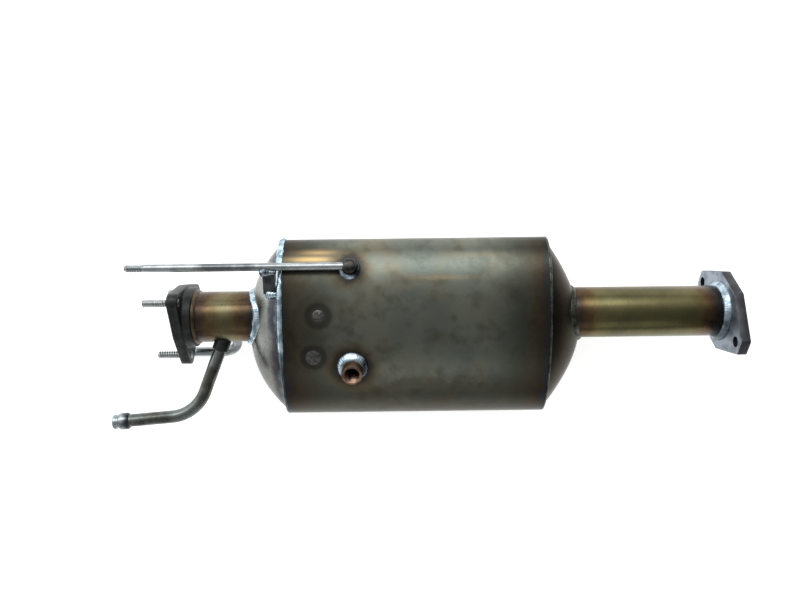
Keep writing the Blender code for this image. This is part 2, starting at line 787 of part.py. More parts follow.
def build_rod_boss(root, envelope, rod_start):
    """The boss that takes the rod's end in a blind cross hole, and the weld round its foot."""
    foot, normal = surface_point(ROD_BOSS_X, ROD_BOSS_Y)
    radius = ROD_BOSS_DIAMETER / 2
    height = ROD_BOSS_HEIGHT
    profile = [
        (radius, -0.2 * height),
        (radius, 0.78 * height),
        (0.9 * radius, 0.92 * height),
        (0.6 * radius, height),
    ]
    boss = add_piece("rod_boss", capped_body(turned_rings(profile, foot, normal, 24)), "steel_rod", root)
    cut(boss, envelope)
    mouth = rod_start + Vector((-2 * ROD_BOSS_DIAMETER, 0.0, 0.0))
    floor = rod_start + Vector((GAP, 0.0, 0.0))
    cut(boss, cylinder_cutter("cutter_rod_seat", mouth, floor, ROD_RADIUS + GAP, root))
    inner = radius + GAP
    toe = ROD_WELD_DIAMETER / 2
    weld_profile = [
        (inner, -ROD_WELD_HEIGHT),
        (toe, -ROD_WELD_HEIGHT),
        (toe, 0.2 * ROD_WELD_HEIGHT),
        ((inner + toe) / 2, 0.75 * ROD_WELD_HEIGHT),
        (inner, ROD_WELD_HEIGHT),
    ]
    rings = turned_rings(weld_profile, foot, normal, 24)
    weld = add_piece("rod_boss_weld", ring_body(rings), "weld_bead", root)
    cut(weld, envelope)


def bracket_frame():
    """The rod's centre beside the bracket, the strap's direction to its foot and its normal."""
    rod = rod_axis_point(0.0)
    along = Vector((0.0, -math.cos(BRACKET_DROP), -math.sin(BRACKET_DROP)))
    normal = Vector((0.0, -math.sin(BRACKET_DROP), math.cos(BRACKET_DROP)))
    return rod, along, normal


def bracket_ends():
    """The bracket's two sides along X, clear of the seam weld."""
    near = -(SHELL_HALF + SEAM_REACH + WELD_SEAT)
    return near - BRACKET_WIDTH, near


def build_bracket(root, cap_envelope):
    """The strap from the inlet cap to the rod, its foot cut to the dome."""
    rod, along, normal = bracket_frame()
    half = BRACKET_THICKNESS / 2
    top = rod + along * (ROD_RADIUS + GAP)
    foot = rod + along * BRACKET_REACH
    section = [top + normal * half, foot + normal * half, foot - normal * half, top - normal * half]
    rings = []
    for x in bracket_ends():
        rings.append([Vector((x, point.y, point.z)) for point in section])
    bracket = add_piece("rod_bracket", capped_body(rings), "steel_rod", root)
    cut(bracket, cap_envelope)


def build_bracket_rod_weld(root):
    """The bead in the corner between the strap's outer face and the rod."""
    rod, along, normal = bracket_frame()
    radius = BRACKET_BEAD_RADIUS
    lift = BRACKET_THICKNESS / 2 + GAP + radius
    reach = ROD_RADIUS + GAP + radius
    centre = rod + normal * lift + along * math.sqrt(reach ** 2 - lift ** 2)
    low, high = bracket_ends()
    start = Vector((low, centre.y, centre.z))
    end = Vector((high, centre.y, centre.z))
    body = bead_body(bead_centres(start, end, radius), radius)
    add_piece("bracket_rod_weld", body, "weld_bead", root)


def strap_foot(x):
    """Where the strap's outer face meets the inlet cap's dome at x."""
    rod, along, normal = bracket_frame()
    start = rod + normal * (BRACKET_THICKNESS / 2)
    rise_here = -x - SHELL_HALF
    near, far = 0.0, BRACKET_REACH
    for _ in range(30):
        middle = (near + far) / 2
        point = start + along * middle
        if dome_rise(-1, point.y, point.z) < rise_here:
            near = middle
        else:
            far = middle
    point = start + along * far
    return Vector((x, point.y, point.z))


def build_bracket_foot_weld(root):
    """The bead in the corner between the strap's outer face and the dome."""
    normal = bracket_frame()[2]
    radius = BRACKET_BEAD_RADIUS
    low, high = bracket_ends()
    centres = []
    for step in range(5):
        foot = strap_foot(low + (high - low) * step / 4)
        dome = dome_normal(-1, foot.y, foot.z)
        reach = (radius + WELD_SEAT) / (1.0 + normal.dot(dome))
        centres.append(foot + (normal + dome) * reach)
    add_piece("bracket_foot_weld", bead_body(centres, radius), "weld_bead", root)


def plug_hole(label, root):
    """The round cutter for a plug weld's hole in the shell."""
    plug = PLUG_WELDS[label]
    foot, normal = surface_point(plug["lead"] - SHELL_HALF, plug["y"])
    reach = normal * PLUG_SHANK
    radius = PLUG_SHANK / 2 + GAP
    return cylinder_cutter("cutter_plug_" + label, foot - reach, foot + reach, radius, root, 12)


def build_plug_weld(label, root):
    """A weld nugget: its shank fills the hole in the shell down to the baffle's rim."""
    plug = PLUG_WELDS[label]
    foot, normal = surface_point(plug["lead"] - SHELL_HALF, plug["y"])
    head = plug["head"] / 2
    shank = PLUG_SHANK / 2
    profile = [
        (shank, -SHELL_WALL),
        (shank, GAP),
        (head, GAP),
        (0.9 * head, 0.6 * PLUG_CROWN),
        (0.4 * head, PLUG_CROWN),
    ]
    rings = turned_rings(profile, foot, normal, 16)
    add_piece("plug_weld_" + label, capped_body(rings), "weld_bead", root)


def tap_start(x, tilt, slant):
    """Where a tap pipe's axis crosses the inlet pipe's axis, and its direction from there."""
    heading = pipe_direction(tilt) * math.cos(slant) + Vector((-math.sin(slant), 0.0, 0.0))
    return Vector((x, PIPE_OFFSET, 0.0)), heading


def tap_clear(tube_radius, slant):
    """Distance along a tap pipe's axis at which its square end clears the inlet pipe."""
    return (PIPE_RADIUS + GAP + tube_radius * math.sin(slant)) / math.cos(slant)


def build_front_pressure_pipe(root, pipe_envelope):
    """The tap pipe in front: its boss on the inlet pipe, its bend and the hose nipple."""
    axis_point, heading = tap_start(FRONT_PIPE_X, FRONT_PIPE_TILT, FRONT_PIPE_SLANT)
    radius = FRONT_PIPE_DIAMETER / 2
    start = axis_point + heading * tap_clear(radius, FRONT_PIPE_SLANT)
    corner = axis_point + heading * (FRONT_PIPE_DROP / math.cos(FRONT_PIPE_SLANT))
    end = axis_point + Vector((-FRONT_PIPE_REACH, -FRONT_PIPE_FALL, FRONT_PIPE_RISE))
    route = bent_route([start, corner, end], FRONT_BEND_RADIUS)
    add_piece("front_pressure_pipe", tube_body(route, radius, FRONT_PIPE_WALL), "dark_tube", root)
    bore = radius + GAP
    outer = FRONT_BOSS_DIAMETER / 2
    top = FRONT_BOSS_REACH
    profile = [
        (bore, 0.5 * PIPE_RADIUS),
        (outer, 0.5 * PIPE_RADIUS),
        (outer, top - FLANGE_CHAMFER),
        (outer - FLANGE_CHAMFER, top),
        (bore, top),
    ]
    rings = turned_rings(profile, axis_point, heading, 20)
    boss = add_piece("front_pressure_boss", ring_body(rings), "dark_flange", root)
    cut(boss, pipe_envelope)
    build_hose_nipple(route, root)
    return cylinder_cutter("cutter_front_tap", axis_point, corner, TAP_BORE / 2, root, 12)


def build_hose_nipple(route, root):
    """The nipple on the front pipe's end: a socket for the pipe and a rounded lip."""
    end = route[-1]
    axis = (route[-1] - route[-2]).normalized()
    base = end - axis * NIPPLE_SOCKET
    socket = FRONT_PIPE_DIAMETER / 2 + GAP
    bore = FRONT_PIPE_DIAMETER / 2 - FRONT_PIPE_WALL
    outer = NIPPLE_DIAMETER / 2
    length = NIPPLE_LENGTH
    profile = [
        (socket, 0.0),
        (outer - FLANGE_CHAMFER, 0.0),
        (outer, FLANGE_CHAMFER),
        (outer, 0.45 * length),
        (0.88 * outer, 0.55 * length),
        (0.88 * outer, 0.85 * length),
        (0.75 * outer, length),
        (bore, length),
        (bore, NIPPLE_SOCKET + GAP),
        (socket, NIPPLE_SOCKET + GAP),
    ]
    add_piece("hose_nipple", ring_body(turned_rings(profile, base, axis, 20)), "zinc_stud", root)


def build_rear_pressure_pipe(root, pipe_envelope):
    """The tap pipe behind: an elbow out of the inlet pipe's back, and a run toward the flange."""
    axis_point, heading = tap_start(REAR_PIPE_X, -REAR_PIPE_TILT, 0.0)
    radius = REAR_PIPE_DIAMETER / 2
    start = axis_point + heading * tap_clear(radius, 0.0)
    corner = axis_point + heading * REAR_PIPE_DROP
    end = corner - Vector((REAR_PIPE_REACH, 0.0, 0.0))
    route = bent_route([start, corner, end], REAR_BEND_RADIUS)
    add_piece("rear_pressure_pipe", tube_body(route, radius, REAR_PIPE_WALL), "dark_tube", root)
    inner = radius + GAP
    toe = REAR_WELD_DIAMETER / 2
    low = 0.5 * PIPE_RADIUS
    top = PIPE_RADIUS + REAR_WELD_HEIGHT
    profile = [(inner, low), (toe, low), (toe, PIPE_RADIUS + 0.2 * REAR_WELD_HEIGHT), (inner, top)]
    rings = turned_rings(profile, axis_point, heading, 20)
    weld = add_piece("rear_pressure_weld", ring_body(rings), "weld_bead", root)
    cut(weld, pipe_envelope)
    return cylinder_cutter("cutter_rear_tap", axis_point, corner, radius - REAR_PIPE_WALL, root, 12)


def build_monolith(root):
    """The ceramic wall-flow filter, its mat and the two rings beside the mat."""
    rings = [
        oval_ring(inset(BRICK_OVAL, BRICK_CHAMFER), BRICK_START),
        oval_ring(BRICK_OVAL, BRICK_START + BRICK_CHAMFER),
        oval_ring(BRICK_OVAL, BRICK_END - BRICK_CHAMFER),
        oval_ring(inset(BRICK_OVAL, BRICK_CHAMFER), BRICK_END),
    ]
    add_piece("filter_monolith", capped_body(rings), "cordierite", root)
    keep = MAT_RING_LENGTH + GAP
    add_sleeve("support_mat", BRICK_START + keep, BRICK_END - keep, "mat_fibre", root)
    add_sleeve("inlet_mat_ring", BRICK_START, BRICK_START + MAT_RING_LENGTH, "knitted_wire", root)
    add_sleeve("outlet_mat_ring", BRICK_END - MAT_RING_LENGTH, BRICK_END, "knitted_wire", root)


def add_sleeve(name, start, end, finish, root):
    """An oval sleeve that fills the space between the monolith and the shell."""
    rings = [
        oval_ring(MAT_OUTER, start),
        oval_ring(MAT_OUTER, end),
        oval_ring(MAT_INNER, end),
        oval_ring(MAT_INNER, start),
    ]
    add_piece(name, ring_body(rings), finish, root)


def baffle_holes():
    """The centres of the baffle's holes, in staggered rows inside its margin."""
    half_width, half_height = inset(SHELL_INNER, BAFFLE_MARGIN)
    pitch = 2 * half_width / BAFFLE_COLUMNS
    centres = []
    for row in (-1, 0, 1):
        shift = 0.5 if row == 0 else 0.0
        for column in range(-BAFFLE_COLUMNS, BAFFLE_COLUMNS + 1):
            y = (column + shift) * pitch
            z = row * BAFFLE_ROW_SHARE * half_height
            if math.hypot(y / half_width, z / half_height) < 1.0:
                centres.append((y, z))
    return centres


def build_baffle(root):
    """The perforated dish: a rim along the shell and a wall across the oval."""
    outer = inset(SHELL_INNER, GAP)
    inner = inset(outer, BAFFLE_WALL)
    end = BAFFLE_START + BAFFLE_RIM
    rings = [
        oval_ring(inner, end - BAFFLE_WALL),
        oval_ring(inner, BAFFLE_START),
        oval_ring(outer, BAFFLE_START),
        oval_ring(outer, end),
    ]
    baffle = add_piece("inlet_baffle", capped_body(rings), "stainless_shell", root)
    cutter = bmesh.new()
    for y, z in baffle_holes():
        start = Vector((end - 3 * BAFFLE_WALL, y, z))
        profile = [(BAFFLE_HOLE / 2, 0.0), (BAFFLE_HOLE / 2, 5 * BAFFLE_WALL)]
        loops = [
            [cutter.verts.new(point) for point in ring]
            for ring in turned_rings(profile, start, Vector((1.0, 0.0, 0.0)), 8)
        ]
        bridge(cutter, loops[0], loops[1])
        cutter.faces.new(loops[0])
        cutter.faces.new(loops[1])
    cut(baffle, add_cutter("cutter_baffle", cutter, root))


def set_down(root):
    """Turn the part to its rest, then put the middle of its underside at the origin."""
    root.rotation_euler = (REST_ROLL, REST_PITCH, 0.0)
    bpy.context.view_layer.update()
    depsgraph = bpy.context.evaluated_depsgraph_get()
    low = np.full(3, np.inf)
    high = np.full(3, -np.inf)
    for piece in root.children:
        if piece.hide_render:
            continue
        ready = piece.evaluated_get(depsgraph)
        places = np.array([ready.matrix_world @ vertex.co for vertex in ready.data.vertices])
        low = np.minimum(low, places.min(axis=0))
        high = np.maximum(high, places.max(axis=0))
    middle = (low + high) / 2
    root.location = (-middle[0], -middle[1], -low[2])
    bpy.context.view_layer.update()


def main():
    """Build the whole filter."""
    clear_scene()
    root = bpy.data.objects.new("rest_pose", None)
    bpy.context.collection.objects.link(root)
    shell_rings = [oval_ring(SHELL_OUTER, end, GAP) for end in (-SHELL_HALF, SHELL_HALF)]
    shell_envelope = add_cutter("cutter_shell_envelope", capped_body(shell_rings), root)
    grown = inset(CAP_OUTER, -WELD_SEAT)
    cap_rings = dome_rings(-1, grown, CAP_DEPTH + WELD_SEAT, PIPE_RADIUS / 5)
    cap_envelope = add_cutter("cutter_cap_envelope", capped_body(cap_rings), root)
    pipe_start = Vector((INLET_FACE, PIPE_OFFSET, 0.0))
    pipe_end = Vector((-SHELL_HALF, PIPE_OFFSET, 0.0))
    pipe_envelope = cylinder_cutter(
        "cutter_pipe_envelope", pipe_start, pipe_end, PIPE_RADIUS + GAP, root, 64
    )

    plug_holes = [plug_hole(label, root) for label in PLUG_WELDS]
    foot, normal = surface_point(SENSOR_X, SENSOR_Y)
    reach = normal * SENSOR_DIAMETER / 2
    sensor_hole = cylinder_cutter(
        "cutter_sensor", foot - reach, foot + reach, SENSOR_DIAMETER / 2 + GAP, root, 24
    )
    build_shell(root, plug_holes, sensor_hole)
    build_shell_seam(root, shell_envelope)
    for end, side in (("inlet", -1), ("outlet", 1)):
        build_cap(end + "_cap", side, root)
        build_seam_weld(end + "_seam_weld", side, root)
        build_pipe_weld(end + "_pipe_weld", side, root)
    inlet_pipe = build_pipe("inlet_pipe", -1, INLET_FACE, root)
    build_pipe("outlet_pipe", 1, OUTLET_FACE, root)
    build_inlet_flange(root)
    for lobe in INLET_LOBES:
        build_stud(lobe, root)
    build_outlet_flange(root)
    build_flange_weld("inlet", -1, INLET_FACE + INLET_FLANGE_THICKNESS + HUB_LENGTH, root)
    build_flange_weld("outlet", 1, OUTLET_FACE - OUTLET_FLANGE_THICKNESS, root)
    build_sensor_boss(root, shell_envelope)
    rod_start = build_support_rod(root)
    build_rod_boss(root, shell_envelope, rod_start)
    build_bracket(root, cap_envelope)
    build_bracket_rod_weld(root)
    build_bracket_foot_weld(root)
    for label in PLUG_WELDS:
        build_plug_weld(label, root)
    cut(inlet_pipe, build_front_pressure_pipe(root, pipe_envelope))
    cut(inlet_pipe, build_rear_pressure_pipe(root, pipe_envelope))
    build_monolith(root)
    build_baffle(root)
    set_down(root)


main()
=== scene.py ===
"""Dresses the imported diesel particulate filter: finer pieces, real finishes, light and camera."""

from __future__ import annotations

import logging
import math
from collections.abc import Callable, Sequence
from dataclasses import dataclass
from enum import Enum

import bpy
import numpy as np
from mathutils import Euler, Matrix, Vector, noise

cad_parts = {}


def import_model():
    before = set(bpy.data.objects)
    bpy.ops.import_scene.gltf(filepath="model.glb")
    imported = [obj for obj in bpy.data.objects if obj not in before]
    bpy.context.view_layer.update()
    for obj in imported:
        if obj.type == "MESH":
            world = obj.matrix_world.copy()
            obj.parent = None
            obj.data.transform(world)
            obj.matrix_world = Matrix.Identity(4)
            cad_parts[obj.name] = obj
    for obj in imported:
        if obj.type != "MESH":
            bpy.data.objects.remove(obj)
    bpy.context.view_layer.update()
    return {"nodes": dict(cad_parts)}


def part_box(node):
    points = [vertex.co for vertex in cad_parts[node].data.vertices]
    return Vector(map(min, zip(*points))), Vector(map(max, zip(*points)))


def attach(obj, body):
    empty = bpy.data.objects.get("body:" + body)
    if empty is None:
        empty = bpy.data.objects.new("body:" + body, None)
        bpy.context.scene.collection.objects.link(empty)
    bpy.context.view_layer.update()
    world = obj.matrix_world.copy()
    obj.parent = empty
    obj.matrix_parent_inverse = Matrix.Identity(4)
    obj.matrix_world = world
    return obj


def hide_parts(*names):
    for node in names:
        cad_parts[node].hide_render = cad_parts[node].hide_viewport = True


log = logging.getLogger("filter_scene")

MM = 0.001
# The part's own X, which runs from the inlet to the outlet
ALONG = Vector((1.0, 0.0, 0.0))
# Angles in degrees above which an edge stays sharp
SHARP, SHARP_THREAD, SHARP_WELD = 35.0, 28.0, 60.0
# A cutter's reach to either side of its middle, and the room round a pipe in its bore
CUTTER = 20.0 * MM
PIPE_ROOM = 0.1 * MM
# Thread ridges are about twice as coarse as real ones: that is how they lie in the photograph,
# and finer ones vanish at its size
RIDGE_PITCH = 2.4 * MM

Socket = bpy.types.NodeSocket
Corner = tuple[float, float]
# Place or distance, colour and strength
Band = tuple[float, str, float]
# Gives a bead's point for its angle round, and its place across and above, each from -1 to 1
Trace = Callable[[float, float, float], Vector]


class End(Enum):
    """An end of the canister; its value is the way that it faces along the part."""

    INLET = -1
    OUTLET = 1

    @property
    def label(self) -> str:
        """Give the end's name as pieces and nodes carry it."""
        return self.name.lower()


@dataclass(frozen=True)
class Rest:
    """How the part lies on the floor, and how it was turned when the photograph was taken."""

    roll: float = math.radians(5.7)
    pitch: float = math.radians(-0.65)
    photo_roll: float = math.radians(13.0)
    monolith_middle: float = 36.2 * MM

    def placing(self) -> Matrix:
        """Give the move from the part's own frame to the floor's.

        Returns:
            The matrix. The monolith is symmetric, so the middle of its box is its own middle.
        """
        low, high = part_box("filter_monolith")
        turn = Euler((self.roll, self.pitch, 0.0)).to_matrix().to_4x4()
        return Matrix.Translation((low + high) / 2 - turn @ (ALONG * self.monolith_middle)) @ turn


@dataclass(frozen=True)
class Layout:
    """Main sizes and places of the filter in its own frame, as the CAD source has them."""

    shell_width: float = 180.0 * MM
    shell_height: float = 90.0 * MM
    shell_half: float = 128.5 * MM
    wall: float = 1.5 * MM
    cap_gap: float = 1.8 * MM
    cap_depth: float = 37.0 * MM
    inlet_fullness: tuple[float, float] = (2.5, 2.6)
    outlet_fullness: tuple[float, float] = (1.8, 2.5)
    pipe_radius: float = 25.4 * MM
    pipe_offset: float = 12.8 * MM
    inlet_face: float = -237.0 * MM
    outlet_face: float = 316.5 * MM
    sensor: Corner = (-61.0 * MM, -29.2 * MM)
    rod_boss: Corner = (-62.0 * MM, 66.1 * MM)
    upper_plug: Corner = (-92.6 * MM, 23.0 * MM)
    lower_plug: Corner = (-98.4 * MM, -18.2 * MM)

    def surface(self, x: float, y: float, low: bool = False) -> tuple[Vector, Vector]:
        """Find a point on the shell's outside.

        Args:
            x: Place along the part.
            y: Place across the part.
            low: Take the lower side.

        Returns:
            The point and the outward normal there.
        """
        wide, tall = self.shell_width / 2, self.shell_height / 2
        z = tall * math.sqrt(1.0 - (y / wide) ** 2) * (-1.0 if low else 1.0)
        return Vector((x, y, z)), Vector((0.0, y / wide**2, z / tall**2)).normalized()

    def oval(self, inset: float, angle: float) -> tuple[Vector, Vector]:
        """Find a point on the oval at an angle.

        Args:
            inset: How far the oval lies inside the shell's outside.
            angle: The oval's own parameter.

        Returns:
            The point at x 0 and the outward normal there.
        """
        wide, tall = self.shell_width / 2 - inset, self.shell_height / 2 - inset
        point = Vector((0.0, wide * math.cos(angle), tall * math.sin(angle)))
        return point, Vector((0.0, math.cos(angle) / wide, math.sin(angle) / tall)).normalized()

    def outness(self, y: float, z: float) -> float:
        """Tell how far out on a cap a point lies, from 0 in its middle to 1 at its rim."""
        wide, tall = self.shell_width / 2 - self.cap_gap, self.shell_height / 2 - self.cap_gap
        return math.hypot(y / wide, z / tall)

    def dome_rise(self, end: End, y: float, z: float) -> float:
        """Tell how far a cap's dome stands beyond the shell's end.

        Args:
            end: The cap's end.
            y: Place across the part.
            z: Place in height.

        Returns:
            The rise in metres.
        """
        wide = self.shell_width / 2 - self.cap_gap
        reach = self.outness(y, z)
        along_wide, along_short = self.inlet_fullness if end is End.INLET else self.outlet_fullness
        fullness = along_short + (along_wide - along_short) * (y / wide / reach) ** 2 if reach else 1.0
        return self.cap_depth * (1.0 - min(1.0, reach) ** fullness)

    def pipe_point(self, x: float, across: float = 0.0, up: float = 0.0) -> Vector:
        """Give a point by its place from the pipes' axis."""
        return Vector((x, self.pipe_offset + across, up))


LAYOUT = Layout()


def linear(code: str) -> tuple[float, float, float, float]:
    """Turn an sRGB hex colour into linear red, green and blue with full alpha."""
    channels = []
    for start in (0, 2, 4):
        value = int(code[start : start + 2], 16) / 255
        channels.append(value / 12.92 if value <= 0.04045 else ((value + 0.055) / 1.055) ** 2.4)
    return (*channels, 1.0)


@dataclass(frozen=True)
class Nodes:
    """Short ways to add nodes to a tree."""

    tree: bpy.types.NodeTree

    def add(self, kind: str, inputs: dict | None = None, **settings) -> bpy.types.Node:
        """Add a node with its settings and links.

        Args:
            kind: The node's type without its ShaderNode prefix.
            inputs: A value or an output socket for each input, by name or number.
            settings: Attributes of the node.

        Returns:
            The new node.
        """
        node = self.tree.nodes.new("ShaderNode" + kind)
        for name, value in settings.items():
            setattr(node, name, value)
        for socket, value in (inputs or {}).items():
            if isinstance(value, Socket):
                self.tree.links.new(value, node.inputs[socket])
            else:
                node.inputs[socket].default_value = value
        return node

    def math(self, operation: str, *values: Socket | float) -> Socket:
        """Work on numbers."""
        return self.add("Math", dict(enumerate(values)), operation=operation).outputs[0]

    def vector(self, operation: str, *values: Socket | tuple) -> Socket:
        """Work on vectors; a distance or a dot product gives a number."""
        node = self.add("VectorMath", dict(enumerate(values)), operation=operation)
        return node.outputs["Value" if operation in ("DISTANCE", "DOT_PRODUCT") else "Vector"]

    def split(self, vector: Socket, axis: int) -> Socket:
        """Give a vector's number along an axis."""
        return self.add("SeparateXYZ", {0: vector}).outputs[axis]

    def remap(self, value: Socket, start: float, end: float, low: float, high: float) -> Socket:
        """Turn the range from start to end into the one from low to high."""
        return self.add("MapRange", {"Value": value, 1: start, 2: end, 3: low, 4: high}).outputs[0]

    def mix(self, share: Socket, below: Socket | tuple, above: Socket | tuple) -> Socket:
        """Lay a share of one colour over another."""
        return self.add("Mix", {0: share, 6: below, 7: above}, data_type="RGBA").outputs[2]

    def ramp(self, share: Socket, stops: Sequence[Band]) -> bpy.types.Node:
        """Add a colour ramp.

        Args:
            share: Place on the ramp, from 0 to 1.
            stops: Place, colour and alpha of each stop, in order.

        Returns:
            The ramp.
        """
        node = self.add("ValToRGB", {"Fac": share})
        elements = node.color_ramp.elements
        while len(elements) < len(stops):
            elements.new(1.0)
        for element, (place, code, alpha) in zip(elements, stops):
            element.position = place
            element.color = (*linear(code)[:3], alpha)
        return node

    def level(self, share: Socket, stops: Sequence[Corner]) -> Socket:
        """Give a strength along a ramp, which holds at most 1, so it is halved there and doubled after."""
        ramp = self.ramp(share, [(place, "FFFFFF", strength / 2) for place, strength in stops])
        return self.math("MULTIPLY", ramp.outputs["Alpha"], 2.0)


@dataclass(frozen=True)
class Brush(Nodes):
    """Paints one material; its places and sizes are millimetres in the part's own frame."""

    shader: bpy.types.Node
    place: Socket

    def grain(self, stretch: tuple[float, float, float], depth: float, middle: float, spread: float) -> None:
        """Add a fine grain to the bump and the roughness.

        The grains are coarser than real scratches, which vanish at the photograph's size.

        Args:
            stretch: Grains per millimetre along each axis.
            depth: Bump depth in metres.
            middle: Mean roughness.
            spread: How far the roughness moves to either side.
        """
        scaled = self.vector("MULTIPLY", self.place, stretch)
        inputs = {"Vector": scaled, "Scale": 1.0, "Detail": 4.0, "Roughness": 0.6}
        grain = self.add("TexNoise", inputs).outputs[0]
        rough = self.remap(grain, 0.3, 0.7, middle - spread, middle + spread)
        bump = self.add("Bump", {"Height": grain, "Strength": 0.5, "Distance": depth})
        self.tree.links.new(rough, self.shader.inputs["Roughness"])
        self.tree.links.new(bump.outputs[0], self.shader.inputs["Normal"])

    def mottle(self, below: Socket | tuple, code: str, size: float, edges: Corner, strength: float) -> Socket:
        """Lay soft patches of a colour over another.

        Args:
            below: The colour under the patches.
            code: The patches' colour.
            size: A patch's size.
            edges: The noise values at which a patch begins and is full.
            strength: How much of a full patch shows.

        Returns:
            The new colour.
        """
        patches = self.add("TexNoise", {"Vector": self.place, "Scale": 1.0 / size, "Detail": 3.0})
        share = self.remap(patches.outputs[0], *edges, 0.0, strength)
        return self.mix(share, below, linear(code))

    def wander(self, distance: Socket, amount: float) -> Socket:
        """Make a distance uneven by up to an amount, so that a tint's edge isn't a clean line."""
        waves = self.add("TexNoise", {"Vector": self.place, "Scale": 0.09, "Detail": 3.0})
        return self.math("ADD", distance, self.remap(waves.outputs[0], 0.3, 0.7, -amount, amount))

    def beside(self, plane: float, amount: float) -> Socket:
        """Give the distance from a plane across the part, made uneven by up to an amount."""
        side = self.math("SUBTRACT", self.split(self.place, 0), plane)
        return self.wander(self.math("ABSOLUTE", side), amount)

    def halo(self, distance: Socket, bands: Sequence[Band], below: Socket | tuple) -> Socket:
        """Lay bands of tint over a colour by a distance; they end at the last band.

        Args:
            distance: The distance.
            bands: Distance, colour and strength of each band.
            below: The colour under the tint.

        Returns:
            The new colour.
        """
        reach = bands[-1][0]
        share = self.remap(distance, 0.0, reach, 0.0, 1.0)
        ramp = self.ramp(share, [(at / reach, code, alpha) for at, code, alpha in bands])
        return self.mix(ramp.outputs["Alpha"], below, ramp.outputs["Color"])

    def painted_low_side_shade(self, start: float, below: Socket) -> Socket:
        """Paint shade on the side away from the rod and the key lamp, where the surface mirrors the floor.

        Args:
            start: How far from the middle the painted shade begins.
            below: The colour under it.

        Returns:
            The new colour.
        """
        low = self.math("MULTIPLY", self.split(self.place, 1), -1.0)
        # Painted shade: the colour darkens toward the side away from the rod and the key lamp
        bands = (
            (start, "3A362B", 0.0),
            (start + 18.0, "342E22", 0.55),
            (84.0, "2A2318", 0.8),
            (90.0, "1E1A12", 0.9),
        )
        return self.halo(self.wander(low, 6.0), bands, below)

    def end_facing(self) -> Socket:
        """Tell how squarely the surface faces along the part, from 0 to 1."""
        return self.math("ABSOLUTE", self.split(self.add("NewGeometry").outputs["Normal"], 0))


@dataclass(frozen=True)
class Finish:
    """A surface finish."""

    name: str
    colour: str
    roughness: float
    metallic: float = 1.0

    def make(self, placing: Matrix) -> bpy.types.Material:
        """Build the material.

        Args:
            placing: The move from the part's own frame to the floor's.

        Returns:
            The material.
        """
        material = bpy.data.materials.new(self.name)
        material.use_nodes = True
        tree = material.node_tree
        shader = tree.nodes["Principled BSDF"]
        shader.inputs["Base Color"].default_value = linear(self.colour)
        shader.inputs["Roughness"].default_value = self.roughness
        shader.inputs["Metallic"].default_value = self.metallic
        back = placing.inverted()
        nodes = Nodes(tree)
        inputs = {
            "Vector": nodes.add("TexCoord").outputs["Object"],
            "Location": back.to_translation() / MM,
            "Rotation": back.to_euler(),
            "Scale": (1 / MM, 1 / MM, 1 / MM),
        }
        place = nodes.add("Mapping", inputs).outputs["Vector"]
        tree.links.new(self.paint(Brush(tree, shader, place)), shader.inputs["Base Color"])
        return material

    def paint(self, brush: Brush) -> Socket:
        """Add the finish's pattern and give its colour."""
        raise NotImplementedError


